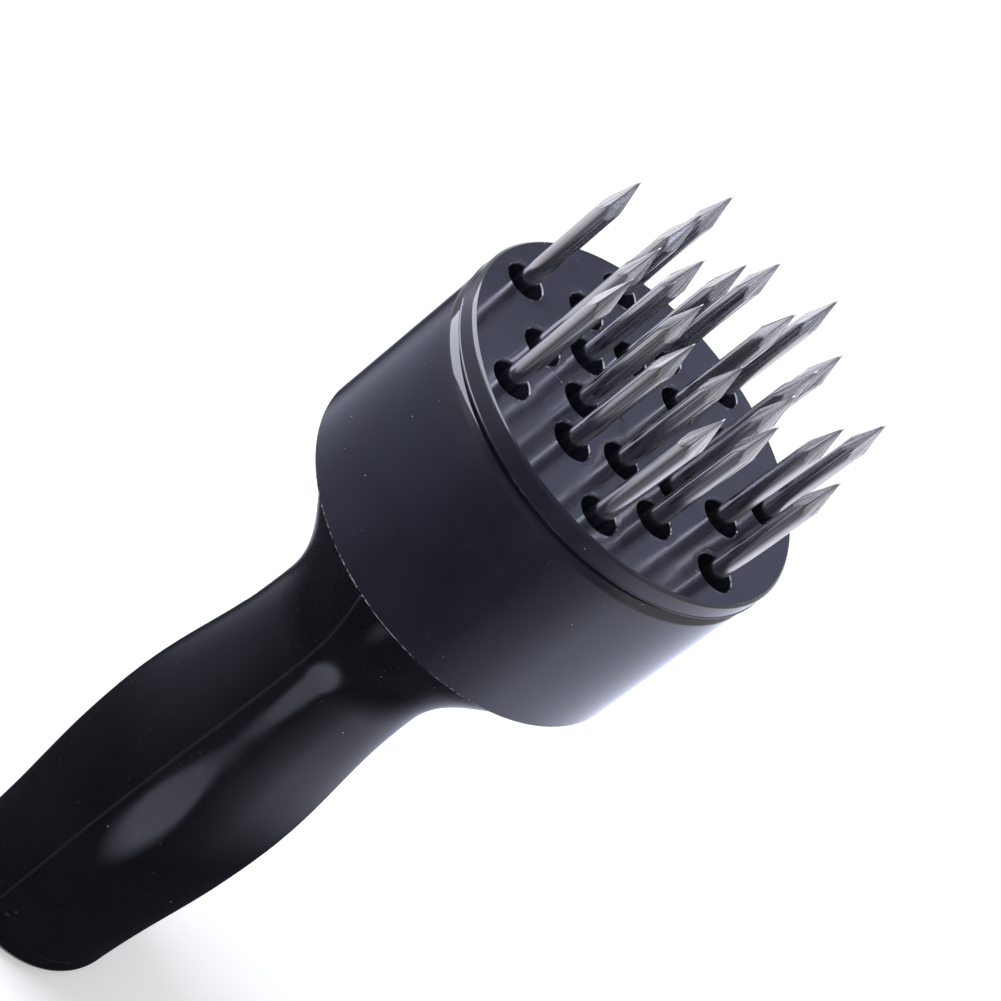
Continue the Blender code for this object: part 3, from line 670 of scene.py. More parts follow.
def drawn_steel(name, colour, roughness):
    """Polished drawn wire: long straight hairlines down the shank, faint stains and pits."""
    s = Surface(name, colour, roughness, 1.0)
    here = s.add("ObjectInfo").outputs["Location"]
    lines = s.noise(*DRAWN_NOISE, s.stretched(DRAWN_STRETCH, shift=here))
    streaks = s.noise(*SMOOTH_LINES, s.stretched(STREAK_STRETCH, shift=here))
    stain = s.mask(FINE_LINES, STAIN_RANGE, s.stretched(STAIN_STRETCH, shift=here))
    pits = s.specks(*PITS)
    base = s.toned(s.ranged(lines, *MID_RANGE), colour, DRAWN_SHADES)
    base = s.laid(stain, base, STAIN_LOOK)
    base = s.laid(pits, base, (PIT_SHARE, shaded(colour, PIT_SHADE)))
    rough = s.roughened(streaks, MID_RANGE, roughness, DRAWN_SPREAD)
    rough = s.plus(rough, s.times(stain, STAIN_MATT))
    drawn = s.bump(streaks, DRAWN_DEPTH, METAL_BUMP)
    grooves = s.bump(lines, DRAWN_DEPTH, METAL_BUMP, below=drawn)
    hollows = s.bump(pits, -PIT_DEPTH, METAL_BUMP, below=grooves)
    return s.finish(base, rough, hollows)


GRIND_NOISE = (1, 3, 0.7)
GRIND_STRETCH = (8000, 8000, 130)
GRIND_SHARE = 0.9
GRIND_RANGE = (0.38, 0.62)
GRIND_SHADES = (0.52, 1.36)
GRIND_LIMITS = (0.36, 0.64)
GRIND_SPREAD = (0.08, 0.08)
GRIND_DEPTH = 0.002 * MM
CROSSING_STRETCH = (1500, 1500, 9000)
CROSSING_TURN = (0.45, 0.3, 0)
CROSSING_SHARE = 0.1
SCORE_STRETCH = (4800, 4800, 90)
SCORE_RANGE = (0.6, 0.7)
SCORE_SHARE = 0.6
SCORE_SHADE = 0.36
SCORE_DEPTH = 0.005 * MM
# Painted shade towards the tip of each point
TIP_PAINTED_SHADE_SHARE = 0.75
TIP_PAINTED_SHADE_TONE = 0.3


def ground_steel(name, colour, roughness):
    """Freshly ground facets: fine marks along and across them, a few scores, and painted shade
    darkening the tip.
    """
    s = Surface(name, colour, roughness, 1.0)
    here = s.add("ObjectInfo").outputs["Location"]
    fan = s.fanned(NEEDLE_RADIUS)
    along = s.noise(*GRIND_NOISE, s.stretched(GRIND_STRETCH, shift=here, spot=fan))
    across = s.noise(*GRIND_NOISE, s.stretched(CROSSING_STRETCH, CROSSING_TURN, here))
    scores = s.stretched(SCORE_STRETCH, shift=here, spot=fan)
    scores = s.mask(SMOOTH_LINES, SCORE_RANGE, scores)
    marks = s.plus(s.times(along, GRIND_SHARE), s.times(across, CROSSING_SHARE))
    height = s.add("SeparateXYZ", Vector=s.spot).outputs["Z"]
    # Painted shade: the point darkens over its last part, up to the tip
    tip = s.ranged(height, NEEDLE_LENGTH - TIP_PAINTED_SHADE_LENGTH, NEEDLE_LENGTH, 0, TIP_PAINTED_SHADE_SHARE)
    base = s.toned(s.ranged(marks, *GRIND_RANGE), colour, GRIND_SHADES)
    base = s.laid(scores, base, (SCORE_SHARE, shaded(colour, SCORE_SHADE)))
    base = s.blend(tip, base, shaded(colour, TIP_PAINTED_SHADE_TONE))
    rough = s.roughened(marks, GRIND_LIMITS, roughness, GRIND_SPREAD)
    fine = s.bump(marks, GRIND_DEPTH, METAL_BUMP)
    deep = s.bump(scores, -SCORE_DEPTH, METAL_BUMP, below=fine)
    return s.finish(base, rough, deep)


PLATED_GRAIN = (1500, 1500, 1500)
ROLLED_GRAIN = (90, 3200, 3200)
PLATED_SHADES = (0.88, 1.08)
PLATED_DEPTH = 0.006 * MM
TARNISH_MASK = ((260, 4, 0.5), (0.48, 0.75))
TARNISH_LOOK = (0.4, (0.3, 0.27, 0.22))
TARNISH_MATT = 0.12


def plated_steel(name, colour, roughness, grain=PLATED_GRAIN):
    """Plated or rolled steel with a soft grain and faint tarnish."""
    s = Surface(name, colour, roughness, 1.0)
    fine = s.noise(*FINE_LINES, s.stretched(grain))
    tarnish = s.mask(*TARNISH_MASK)
    base = s.toned(s.ranged(fine, *MID_RANGE), colour, PLATED_SHADES)
    base = s.laid(tarnish, base, TARNISH_LOOK)
    rough = s.roughened(fine, MID_RANGE, roughness, GRAIN_SPREAD)
    rough = s.plus(rough, s.times(tarnish, TARNISH_MATT))
    marks = s.bump(fine, PLATED_DEPTH, METAL_BUMP)
    return s.finish(base, rough, marks)


CUP_PLASTIC = gloss_plastic(
    "cup_gloss_plastic", GUARD_BLACK, 0.06,
    haze=0.05, dust=0.11, edge_wear_and_glint=0.45, waviness=0.0016 * MM, rim=CUP_LOW.z,
)
FACE_PLASTIC = gloss_plastic(
    "face_gloss_plastic", GUARD_BLACK, 0.13,
    haze=0.06, dust=0.1, edge_wear_and_glint=0.45, waviness=0.0036 * MM, flat=FACE,
)
SHELL_PLASTIC = gloss_plastic(
    "handle_gloss_plastic", HANDLE_BLACK, 0.11,
    haze=0.09, dust=0.04, edge_wear_and_glint=0.0, waviness=0.0016 * MM,
)
PARTING_EDGE = matt_plastic("parting_edge_plastic", (0.045, 0.045, 0.052), 0.4)
HOLDER_PLASTIC = matt_plastic("holder_matt_plastic", (0.02, 0.02, 0.024), 0.42)
SHANK_STEEL = drawn_steel("needle_drawn_steel", (0.56, 0.56, 0.6), 0.2)
POINT_STEEL = ground_steel("needle_ground_steel", (0.57, 0.57, 0.6), 0.24)
PLATE_STEEL = plated_steel("rolled_plate_steel", (0.55, 0.55, 0.57), 0.32, ROLLED_GRAIN)
SCREW_STEEL = plated_steel("plated_screw_steel", (0.6, 0.6, 0.61), 0.28)
SPRING_STEEL = plated_steel("oiled_spring_steel", (0.42, 0.42, 0.45), 0.26)


# Pieces


def make_face_plate():
    """The perforated face with rounded holes, its spigot and the guide post behind it."""
    shape = bmesh.new()
    rim = FACE - RIM_THICKNESS
    step = rim - SPIGOT_DEPTH
    foot = FACE_LOW.z
    bulge = FACE_CHAMFER * CHAMFER_BULGE
    inner = FACE_RADIUS - WITNESS_STEP
    brink = inner - FACE_CHAMFER
    side = [
        (0, FACE, 0),
        (brink - RIM_BAND * 2, FACE, 0),
        (brink - RIM_BAND, FACE, 0),
        (brink, FACE, EASE / 2),
        (inner - bulge, FACE - bulge, FACE_CHAMFER * 3),
        (inner, FACE - FACE_CHAMFER, EASE),
        (inner, rim + SEAM_CHAMFER + WITNESS_STEP * 2, 0),
        (FACE_RADIUS, rim + SEAM_CHAMFER + WITNESS_STEP, 0),
        (FACE_RADIUS, rim + SEAM_CHAMFER, EASE),
        (FACE_RADIUS - SEAM_CHAMFER, rim, EASE / 2),
        (SPIGOT_RADIUS, rim, 0),
        (SPIGOT_RADIUS, step, EASE),
        (0, step, 0),
    ]
    side = rounded(side)[1:-1]
    turn(shape, side)
    gate = (*GATE_PLACE, GATE_RADIUS, HOLE_SIDES)
    perforated(shape, FACE, side[0][0], [*needle_holes(SINK_RADIUS), gate])
    post = (0, 0, POST_RADIUS, HOLE_SIDES)
    perforated(shape, step, side[-1][0], [*needle_holes(HOLE_RADIUS + EASE), post])
    lip = FACE - SINK_DEPTH
    wall = [(SINK_RADIUS - way * MM, FACE - SINK_DEPTH * sunk, 0) for way, sunk in SINK_PROFILE]
    wall += [
        (HOLE_RADIUS + HOLE_CHAMFER, lip, EASE / 2),
        (HOLE_RADIUS, lip - HOLE_CHAMFER, EASE / 2),
        (HOLE_RADIUS, step, EASE),
        (HOLE_RADIUS + EASE * 2, step, 0),
    ]
    wall = rounded(wall)[:-1]
    for place in NEEDLE_PLACES:
        turn(shape, wall, HOLE_SIDES, place)
    dimple = [(GATE_RADIUS * wide, FACE - GATE_DEPTH * deep, 0) for wide, deep in GATE_PROFILE]
    turn(shape, rounded(dimple), HOLE_SIDES, GATE_PLACE)
    stem = [
        (POST_RADIUS, step, 0),
        (POST_RADIUS, foot, EASE * 2),
        (PILOT_RADIUS, foot, EASE),
        (PILOT_RADIUS, foot + PILOT_DEPTH, 0),
        (0, foot + PILOT_DEPTH + PILOT_RADIUS / 2, 0),
    ]
    turn(shape, rounded(stem), HOLE_SIDES)
    show_whole("face_plate", shape, "guard", FACE_PLASTIC, "guard_plastic", "guard_face_plate")


def make_cup():
    """The cup behind the face: a soft chamfer at its front and a fine rear rim."""
    shape = bmesh.new()
    top, bottom = CUP_HIGH.z, CUP_LOW.z
    chamfer = CUP_FRONT_CHAMFER
    bulge = chamfer * CHAMFER_BULGE
    rounds = [chamfer * share for share in CUP_CHAMFER_ROUNDS]
    wall = [
        (CUP_BORE_RADIUS, top, EASE),
        (CUP_FRONT_RADIUS - chamfer, top, rounds[0]),
        (CUP_FRONT_RADIUS - bulge, top - bulge, rounds[1]),
        (CUP_FRONT_RADIUS, top - chamfer, rounds[2]),
        (CUP_REAR_RADIUS, bottom, CUP_REAR_ROUND),
        (CUP_BORE_RADIUS + CUP_BORE_MOUTH[0], bottom, EASE),
        (CUP_BORE_RADIUS, bottom + CUP_BORE_MOUTH[1], EASE),
    ]
    turn(shape, rounded(wall, closed=True), closed=True)
    show_whole("cup", shape, "guard", CUP_PLASTIC, "guard_plastic", "guard_cup")


def make_holder():
    """The disc that grips the needles, with the hub behind it."""
    shape = bmesh.new()
    top, bottom, foot = HOLDER_HIGH.z, HOLDER_HIGH.z - HOLDER_THICKNESS, HOLDER_LOW.z
    side = [
        (0, top, 0),
        (HEAD_RADIUS, top, EASE * 3),
        (HEAD_RADIUS, bottom, EASE * 2),
        (0, bottom, 0),
    ]
    side = rounded(side)[1:-1]
    turn(shape, side)
    sockets = needle_holes(SOCKET_RADIUS)
    mouth = (0, 0, POCKET_RADIUS + EASE, ROUND_SIDES)
    hub_root = (0, 0, HUB_RADIUS, ROUND_SIDES)
    perforated(shape, top, side[0][0], [*sockets, mouth])
    perforated(shape, bottom, side[-1][0], [*sockets, hub_root])
    for place in NEEDLE_PLACES:
        turn(shape, [(SOCKET_RADIUS, top), (SOCKET_RADIUS, bottom)], HOLE_SIDES, place)
    hub = [
        (HUB_RADIUS, bottom, 0),
        (HUB_RADIUS, COLLAR_TOP, 0),
        (COLLAR_RADIUS, COLLAR_TOP, EASE),
        (COLLAR_RADIUS, COLLAR_BOTTOM, EASE),
        (HUB_RADIUS, COLLAR_BOTTOM, 0),
        (HUB_RADIUS, foot, EASE),
        (GUIDE_RADIUS, foot, EASE),
        (GUIDE_RADIUS, SPRING_LEDGE, EASE),
        (POCKET_RADIUS, SPRING_LEDGE, 0),
        (POCKET_RADIUS, top, EASE),
        (POCKET_RADIUS + EASE * 2, top, 0),
    ]
    turn(shape, rounded(hub)[:-1])
    show_whole("holder", shape, "handle", HOLDER_PLASTIC, "holder_plastic", "needle_holder")


def needle_mesh(name, length, ridge_turn):
    """A drawn shank with a point ground on it: facets end in scallops on the shank."""
    shape = bmesh.new()
    columns = []
    lost = POINT_BLUNTNESS * POINT_LENGTH / NEEDLE_RADIUS
    for n in range(SHANK_SIDES):
        facet, column = divmod(n, len(FACET_SPREAD))
        facet_angle = math.radians(FACET_SPREAD[column])
        crown = 1 + FACET_CROWN * math.cos(2 * facet_angle) ** 2
        crease = POINT_LENGTH * math.cos(facet_angle) / crown
        heights, radii = [], []
        for row in range(FACET_ROWS + 1):
            drop = lost + (crease - lost) * row / FACET_ROWS
            half = NEEDLE_RADIUS * drop / POINT_LENGTH
            radii.append(min(half * crown / math.cos(facet_angle), NEEDLE_RADIUS))
            heights.append(length + lost - drop)
        shank = [
            (NEEDLE_RADIUS, heights[-1] - CREASE_SOFTNESS),
            (NEEDLE_RADIUS, (length - POINT_LENGTH) / 2),
            (NEEDLE_RADIUS, NEEDLE_RADIUS * BUTT_EASE),
            (NEEDLE_RADIUS * (1 - BUTT_EASE), 0),
        ]
        turned = ridge_turn + (facet + 1 / 2) * math.tau / POINT_FACETS + facet_angle
        side = Vector((math.cos(turned), math.sin(turned), 0))
        line = list(zip(radii, heights)) + shank
        columns.append([shape.verts.new(side * r + Vector((0, 0, h))) for r, h in line])
    loops = [list(row) for row in zip(*columns)]
    join_loops(shape, loops, capped=True)
    ground = {corner for loop in loops[:FACET_ROWS] for corner in loop}
    for face in shape.faces:
        face.smooth = True
        face.material_index = int(any(corner in ground for corner in face.verts))
    for loop in (loops[-2], loops[-1]):
        for n in range(SHANK_SIDES):
            shape.edges.get((loop[n - 1], loop[n])).smooth = False
    return mesh_of(shape, name, welded=False)


def make_needles():
    for number, (node, (x, y)) in enumerate(zip(NEEDLE_NODES, NEEDLE_PLACES)):
        low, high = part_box(node)
        ridge_turn = POINT_TURN + POINT_STRAY * math.sin(POINT_STRAY_STEP * number)
        mesh = needle_mesh(node + "_ground", high.z - low.z, ridge_turn)
        place = Matrix.Translation((x, y, low.z))
        surfaces = [SHANK_STEEL, POINT_STEEL]
        name = node.replace("needle", "steel_needle")
        show(name, mesh, "handle", surfaces, "needle_steel", [node], place, weighted=False)


def grip_line():
    """The handle's outer side under the head, as finely stepped (radius, height) points."""
    draw_in = HEAD_RADIUS - NECK_RADIUS
    drop = HEAD_BOTTOM - NECK_HEIGHT
    foot = CAP_THICKNESS + CAP_GAP
    swell = foot + (NECK_HEIGHT - foot) * SWELL_SHARE
    upper = (NECK_HEIGHT - swell) * SWELL_PULL
    lower = (swell - foot) * SWELL_PULL
    lean = (SWELL_RADIUS - GRIP_END_RADIUS) * GRIP_LEAN
    knots = [
        (HEAD_RADIUS, HEAD_BOTTOM),
        (NECK_RADIUS + draw_in * SHOULDER_KNOT[0], HEAD_BOTTOM - drop * SHOULDER_KNOT[1]),
        (NECK_RADIUS, HEAD_BOTTOM - drop * NECK_PULL),
        (NECK_RADIUS, NECK_HEIGHT),
        (NECK_RADIUS, NECK_HEIGHT - upper),
        (SWELL_RADIUS, swell + upper),
        (SWELL_RADIUS, swell),
        (SWELL_RADIUS, swell - lower),
        (GRIP_END_RADIUS + lean, foot + lower),
        (GRIP_END_RADIUS, GRIP_BOTTOM),
    ]
    line = []
    for n in (0, 3, 6):  # three curves, each from the last one's end
        curve = [Vector((r, 0, z)) for r, z in knots[n : n + 4]]
        found = interpolate_bezier(*curve, CURVE_STEPS)
        line += [(p.x, p.z) for p in found][1 if line else 0 :]
    return line


def inset(outline, amount):
    """A closed outline drawn in by an amount."""
    drawn = []
    area = sum(a[0] * b[1] - b[0] * a[1] for a, b in zip(outline, outline[1:] + outline[:1]))
    way = 1 if area > 0 else -1
    for n, here in enumerate(outline):
        before = Vector(here) - Vector(outline[n - 1])
        after = Vector(outline[(n + 1) % len(outline)]) - Vector(here)
        normals = [Vector((-d.y, d.x)).normalized() * way for d in (before, after)]
        inward = (normals[0] + normals[1]).normalized()
        reach = amount / max(inward.dot(normals[0]), MITRE_LIMIT)
        drawn.append(tuple(Vector(here) + inward * reach))
    return drawn


def shell_outline():
    """The section of a handle shell: outer side down, inner side up, web round the hub."""
    top = SHELL_HIGH.z
    lip = [(HEAD_RADIUS - MM, top, 0), (HEAD_RADIUS, top, LIP_ROUND), (*grip_line()[0], 0)]
    outer = rounded(lip, LIP_STEPS)[1:] + grip_line()[1:]
    inner = [(radius - GRIP_WALL, height) for radius, height in reversed(grip_line())]
    bore = HEAD_RADIUS - HEAD_WALL
    inner[-1] = (bore, HEAD_BOTTOM)
    web_hole = HUB_RADIUS + WEB_GAP
    web = [(bore, WEB_BOTTOM), (web_hole, WEB_BOTTOM), (web_hole, WEB_TOP), (bore, WEB_TOP)]
    return outer + inner + web + [(bore, top)]


def cross_rod(radius, near, far, height, flare=0.0):
    """A rod along Y at a height, from near to far, where it may be wider."""
    shape = bmesh.new()
    turn(shape, [(0, near), (radius, near), (radius + flare, far), (0, far)], HOLE_SIDES)
    lay = Matrix.Translation((0, 0, height)) @ Matrix.Rotation(-math.pi / 2, 4, "X")
    bmesh.ops.transform(shape, matrix=lay, verts=shape.verts)
    return mesh_of(shape, "cross_rod")


def carved(piece, steps):
    """Unites meshes with a piece or cuts them from it, for good."""
    helpers = []
    for operation, mesh in steps:
        helper = placed("helper", mesh)
        helper.matrix_world = piece.matrix_world
        helpers.append(helper)
        step = piece.modifiers.new("carve", "BOOLEAN")
        step.object = helper
        step.operation = operation
        step.solver = "EXACT"
    bpy.context.view_layer.update()
    ready = piece.evaluated_get(bpy.context.evaluated_depsgraph_get())
    mesh = bpy.data.meshes.new_from_object(ready)
    bpy.data.objects.remove(piece)
    for helper in helpers:
        bpy.data.objects.remove(helper)
    return mesh


def outer_radius(height):
    """The handle's outer radius at a height."""
    line = grip_line()
    for (above, high), (below, low) in zip(line, line[1:]):
        if low <= height <= high:
            return below + (above - below) * (height - low) / (high - low)
    return line[-1][0]


def half_shell(name, node, side):
    """One half of the handle, with softened parting edges and its screw bores."""
    outline = shell_outline()
    eased = inset(outline, PARTING_CHAMFER)
    steps = ROUND_SIDES // 2
    shape = bmesh.new()

    def section(points, across, along, away):
        corners = [(r * across, side * (r * along + PARTING_GAP + away), z) for r, z in points]
        return [shape.verts.new(corner) for corner in corners]

    loops = [section(eased, 1, 0, 0), section(outline, 1, 0, PARTING_CHAMFER)]
    for n in range(1, steps):
        angle = math.pi * n / steps
        loops.append(section(outline, math.cos(angle), math.sin(angle), 0))
    loops += [section(outline, -1, 0, PARTING_CHAMFER), section(eased, -1, 0, 0)]
    join_loops(shape, loops)
    for loop, other in ((loops[0], loops[1]), (loops[-1], loops[-2])):
        pairs = set(loop) | set(other)
        for corner in loop:
            for face in corner.link_faces:
                face.material_index = int(all(c in pairs for c in face.verts))
    shape.faces.new(loops[0])
    shape.faces.new(loops[-1])
    mesh = mesh_of(shape, name)
    for surface in (SHELL_PLASTIC, PARTING_EDGE):
        mesh.materials.append(surface)
    work = []
    for height in BORE_HEIGHTS:
        ends = side * PARTING_GAP, side * (outer_radius(height) - GRIP_WALL / 2)
        work.append(("UNION", cross_rod(BOSS_RADIUS, *ends, height)))
    for height in BORE_HEIGHTS:
        wall = outer_radius(height)
        if side > 0:
            rods = [
                (SHANK_BORE, -CUT_MARGIN, wall, height),
                (HEAD_BORE, HEAD_SEAT, wall + CUT_MARGIN, height),
                (HEAD_BORE, wall - MOUTH_REACH, wall + MOUTH_REACH, height, MOUTH_FLARE),
            ]
        else:
            rods = [(SHANK_BORE, CUT_MARGIN, -PILOT_END, height)]
        work += [("DIFFERENCE", cross_rod(*rod)) for rod in rods]
    mesh = carved(placed("rough_shell", mesh), work)
    mesh.transform(Matrix.Rotation(PARTING_AZIMUTH, 4, "Z"))
    smooth(mesh, SHELL_CRISP_ANGLE)
    show(name, mesh, "handle", [], "shell_plastic", [node])


def driver_bar(turned):
    """One tapered bar of a driver's cross in the end of a pan head, as a cutter."""
    shape = bmesh.new()
    spin = Matrix.Rotation(turned, 3, "Z")
    loops = []
    for height, long, wide in (
        (CROSS_DEPTH, CROSS_FOOT, CROSS_WIDTH * CROSS_TAPER),
        (-CROSS_DEPTH / 3, CROSS_MOUTH, CROSS_WIDTH),
    ):
        spots = ((long, wide), (-long, wide), (-long, -wide), (long, -wide))
        level = height - SCREW_HEAD_HEIGHT
        loops.append([shape.verts.new(spin @ Vector((x, y, level))) for x, y in spots])
    join_loops(shape, loops, capped=True)
    return mesh_of(shape, "driver_bar")


def screw_mesh():
    """A pan head with a driver's cross, and a threaded shank above it."""
    shape = bmesh.new()
    radius = SCREW_HEAD_RADIUS
    line = [(radius * r, -SCREW_HEAD_HEIGHT * h, radius * soft) for r, h, soft in SCREW_HEAD]
    line = rounded([*line, (radius, 0, EASE / 2), (SCREW_RADIUS * SCREW_NECK, 0, 0)])
    for n in range(int((SCREW_BITE - THREAD_SPARE) / THREAD_PITCH)):
        low = THREAD_START + n * THREAD_PITCH
        line += [(SCREW_RADIUS * r, low + THREAD_PITCH * rise) for r, rise in THREAD_PROFILE]
    line += [(SCREW_RADIUS * SCREW_TIP[0], SCREW_BITE - SCREW_TIP[1]), (0, SCREW_BITE)]
    turn(shape, line, HOLE_SIDES)
    rough = placed("rough_screw", mesh_of(shape, "screw"))
    return carved(rough, [("DIFFERENCE", driver_bar(n * math.pi / 2)) for n in (0, 1)])


def make_handle():
    half_shell("shell_screw_side", "handle_shell_left", 1)
    half_shell("shell_plain_side", "handle_shell_right", -1)
    around = Matrix.Rotation(PARTING_AZIMUTH, 4, "Z")
    lay = Matrix.Rotation(math.pi / 2, 4, "X")
    for number, height in enumerate(BORE_HEIGHTS, 1):
        spin = Matrix.Rotation(SCREW_SPIN[0] + number * SCREW_SPIN[1], 4, "Z")
        mesh = screw_mesh()
        mesh.transform(around @ Matrix.Translation((0, SCREW_HEAD_PLACE, height)) @ lay @ spin)
        smooth(mesh)
        node = f"handle_screw_{number}"
        show(f"shell_screw_{number}", mesh, "handle", [SCREW_STEEL], "screw_steel", [node])


def make_end_cap():
    shape = bmesh.new()
    (inner, inner_round), (outer, outer_round) = CAP_HOLLOW
    line = [
        (0, CAP_HOLLOW_DEPTH, 0),
        (CAP_RADIUS * inner, CAP_HOLLOW_DEPTH, inner_round),
        (CAP_RADIUS * outer, 0, outer_round),
        (CAP_RADIUS, 0, CAP_ROUND),
        (CAP_RADIUS, CAP_THICKNESS, EASE),
        (CAP_SPIGOT_RADIUS, CAP_THICKNESS, 0),
        (CAP_SPIGOT_RADIUS, CAP_HIGH.z, EASE * 2),
        (CAP_SPIGOT_BORE, CAP_HIGH.z, EASE * 2),
        (CAP_SPIGOT_BORE, CAP_THICKNESS, 0),
        (0, CAP_THICKNESS, 0),
    ]
    turn(shape, rounded(line, CAP_STEPS))
    show_whole("butt_cap", shape, "handle", SHELL_PLASTIC, "shell_plastic", "end_cap")


def make_spring():
    """A coil with closed ends, between the hub's ledge and the face plate."""
    shape = bmesh.new()
    low, high = SPRING_LOW.z + WIRE_RADIUS, SPRING_HIGH.z - WIRE_RADIUS
    dead = SPRING_DEAD_CURLS
    live = SPRING_CURLS - dead * 2
    live_rise = (high - low - SPRING_DEAD_RISE * dead * 2) / live
    loops = []
    for step in range(SPRING_CURLS * SPRING_STEPS + 1):
        curls = step / SPRING_STEPS
        rise = min(curls, dead) * SPRING_DEAD_RISE
        rise += min(max(curls - dead, 0), live) * live_rise
        rise += max(curls - SPRING_CURLS + dead, 0) * SPRING_DEAD_RISE
        out = Vector((math.cos(curls * math.tau), math.sin(curls * math.tau), 0))
        middle = out * SPRING_RADIUS + Vector((0, 0, low + rise))
        loop = []
        for n in range(WIRE_SIDES):
            angle = math.tau * n / WIRE_SIDES
            up = Vector((0, 0, WIRE_RADIUS * math.sin(angle)))
            loop.append(shape.verts.new(middle + out * WIRE_RADIUS * math.cos(angle) + up))
        loops.append(loop)
    join_loops(shape, loops, capped=True)
    mesh = mesh_of(shape, "coil_spring")
    smooth(mesh)
    looks = [SPRING_STEEL], "spring_steel", ["return_spring"]
    coil = show("coil_spring", mesh, None, *looks, weighted=False)
    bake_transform(coil)


def dress_cad_nodes():
    """Gives the solids that stay shown their finish."""
    screws = ("stop_screw", "backing_screw_1", "backing_screw_2", "backing_screw_3")
    plates = ("needle_backing_plate", "stop_washer")
    for surface, names in ((SCREW_STEEL, screws), (PLATE_STEEL, plates)):
        for name in names:
            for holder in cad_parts[name].material_slots:
                holder.material = surface


# Studio


def seen_rays(nodes):
    """1 for camera, glossy and transmission rays, and 1 for the last two alone."""
    path = nodes.add("LightPath").outputs
    mirrored = nodes.math("MAXIMUM", path["Is Glossy Ray"], path["Is Transmission Ray"])
    return nodes.math("MAXIMUM", mirrored, path["Is Camera Ray"]), mirrored


def direction(azimuth, elevation):
    level = math.cos(elevation)
    return Vector((level * math.cos(azimuth), level * math.sin(azimuth), math.sin(elevation)))


def disc(name, surface):
    """A flat round mesh, as wide as the floor."""
    shape = bmesh.new()
    bmesh.ops.create_circle(shape, cap_ends=True, segments=FLOOR_SIDES, radius=FLOOR_RADIUS)
    mesh = bpy.data.meshes.new(name)
    shape.to_mesh(mesh)
    shape.free()
    mesh.materials.append(surface)
    return mesh


def make_floor():
    nodes = Nodes(bpy.data.materials.new("pale_floor"))
    plugs = nodes.tree.nodes["Principled BSDF"].inputs
    plugs["Base Color"].default_value = (*FLOOR_COLOUR, 1)
    plugs["Roughness"].default_value = FLOOR_ROUGHNESS
    plugs["Specular IOR Level"].default_value = FLOOR_SHINE
    plugs["Emission Color"].default_value = (*WHITE, 1)
    nodes.plug(plugs["Emission Strength"], nodes.times(seen_rays(nodes)[0], FLOOR_LIFT))
    placed("floor", disc("floor", nodes.made))


def make_world():
    """A soft white sky, with dimmer parts for the gloss to show."""
    world = bpy.data.worlds.new("studio")
    bpy.context.scene.world = world
    nodes = Nodes(world)
    sky = nodes.tree.nodes["Background"]
    seen, mirrored = seen_rays(nodes)
    way = nodes.add("TexCoord").outputs["Generated"]
    shade = SKY_COLOUR
    for middle, edges, colour in SKY_PATCHES:
        facing = nodes.vector("DOT_PRODUCT", way, middle, "Value")
        patch = nodes.times(nodes.ranged(facing, *edges), mirrored)
        shade = nodes.blend(patch, shade, colour)
    nodes.plug(sky.inputs["Color"], shade)
    nodes.plug(sky.inputs["Strength"], nodes.ranged(seen, 0, 1, SKY_LIGHT, 1.0))


def card_nodes(name):
    """A new material's nodes, with only its output left."""
    nodes = Nodes(bpy.data.materials.new(name))
    nodes.tree.nodes.remove(nodes.tree.nodes["Principled BSDF"])
    return nodes


def show_card(mesh, nodes, shade):
    """A lit card that only gloss and metal show."""
    light = nodes.add("Emission", Color=shade)
    nodes.plug(nodes.tree.nodes["Material Output"].inputs["Surface"], light.outputs[0])
    piece = placed(mesh.name, mesh)
    piece.visible_camera = False
    piece.visible_diffuse = False
    piece.visible_shadow = False
    return piece


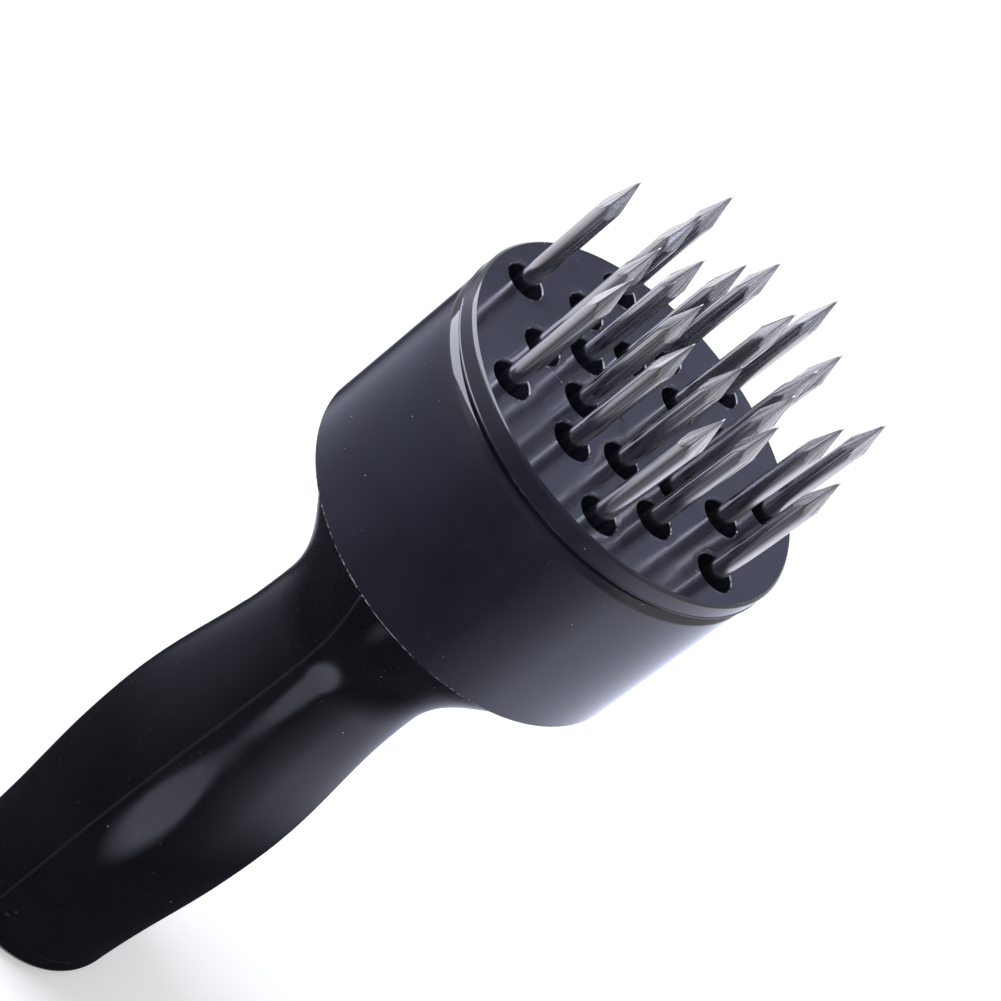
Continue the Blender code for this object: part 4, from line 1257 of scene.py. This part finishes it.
def make_painted_reflection_card():
    """Painted reflections: a graded card just over the floor that only gloss and metal show,
    dark near the part and in front as painted shade, bright beside it, with a bright painted
    reflection streak.
    """
    nodes = card_nodes("floor_card")
    spot = nodes.add("TexCoord").outputs["Object"]
    around = nodes.add("TexGradient", {"gradient_type": "RADIAL"}, Vector=spot)
    parts = []
    bands = ((LOW_TONES, LOW_TINT), (HIGH_TONES, HIGH_TINT), (POINT_TONES, HIGH_TINT))
    for tones, tint in bands:
        ramp = nodes.add("ValToRGB", in0=around.outputs["Fac"])
        stops = ramp.color_ramp.elements
        while len(stops) < len(tones):
            stops.new(0.5)
        for stop, (azimuth, tone) in zip(stops, tones):
            stop.position = azimuth / 360 + 0.5
            stop.color = (*shaded(tint, tone), 1)
        parts.append(ramp.outputs["Color"])
    radius = nodes.vector("LENGTH", spot, result="Value")
    shade = nodes.blend(nodes.ranged(radius, *CARD_MIDDLE), parts[0], parts[1])
    shade = nodes.blend(nodes.ranged(radius, *CARD_OUTER), shade, parts[2])
    shade = nodes.blend(nodes.ranged(radius, *CARD_NEAR), CARD_NEAR_TONE, shade)
    shade = nodes.blend(nodes.ranged(radius, *CARD_FAR), shade, WHITE)
    thin = nodes.vector("MULTIPLY", spot, STREAK_SCALES)
    gap = nodes.vector("DISTANCE", thin, STREAK_PLACE, "Value")
    shade = nodes.blend(nodes.ranged(gap, *STREAK_RADII), shade, STREAK_TONE)
    show_card(disc("floor_card", nodes.made), nodes, shade).location.z = CARD_HEIGHT


def make_key():
    """One large softbox at the upper left, its long side round the part."""
    light = bpy.data.lights.new("key_softbox", "AREA")
    light.shape = "RECTANGLE"
    light.size, light.size_y = KEY_SIZE
    light.energy = KEY_POWER
    light.color = KEY_COLOUR
    lamp = placed("key_softbox", light)
    away = Vector(KEY_WAY).normalized()
    across = Vector(KEY_LENGTHWISE).cross(away).normalized()
    turned = Matrix((across, away.cross(across), away)).transposed().to_4x4()
    middle = Vector((0, 0, FACE))
    lamp.matrix_world = Matrix.Translation(middle + away * KEY_DISTANCE) @ turned
    lamp.visible_camera = False
    lamp.visible_glossy = False
    # A glowing card in the softbox's place that only gloss and metal show: a painted
    # reflection, lighting nothing
    nodes = card_nodes("key_card")
    corners = []
    for azimuth, elevation in KEY_OUTLINE:
        way = direction(math.radians(azimuth), math.radians(elevation))
        corners.append(middle + way * (KEY_DISTANCE / way.dot(away)))
    mesh = bpy.data.meshes.new("key_card")
    mesh.from_pydata(corners, [], [tuple(range(len(corners)))])
    mesh.materials.append(nodes.made)
    show_card(mesh, nodes, (*KEY_SHEEN, 1))


def make_camera():
    lens = bpy.data.cameras.new("camera")
    lens.sensor_width = SENSOR_WIDTH
    lens.lens = LENS
    lens.clip_start, lens.clip_end = CLIP_RANGE
    camera = placed("camera", lens)
    camera.rotation_mode = "QUATERNION"
    upright = direction(CAMERA_HEADING, -CAMERA_DIP).to_track_quat("-Z", "Y")
    camera.rotation_quaternion = upright @ Matrix.Rotation(CAMERA_ROLL, 3, "Z").to_quaternion()
    camera.location = CAMERA_PLACE
    bpy.context.scene.camera = camera


make_face_plate()
make_cup()
make_holder()
make_needles()
make_handle()
make_end_cap()
make_spring()
dress_cad_nodes()
make_floor()
make_world()
make_painted_reflection_card()
make_key()
make_camera()
bpy.context.scene.view_settings.view_transform = "Standard"
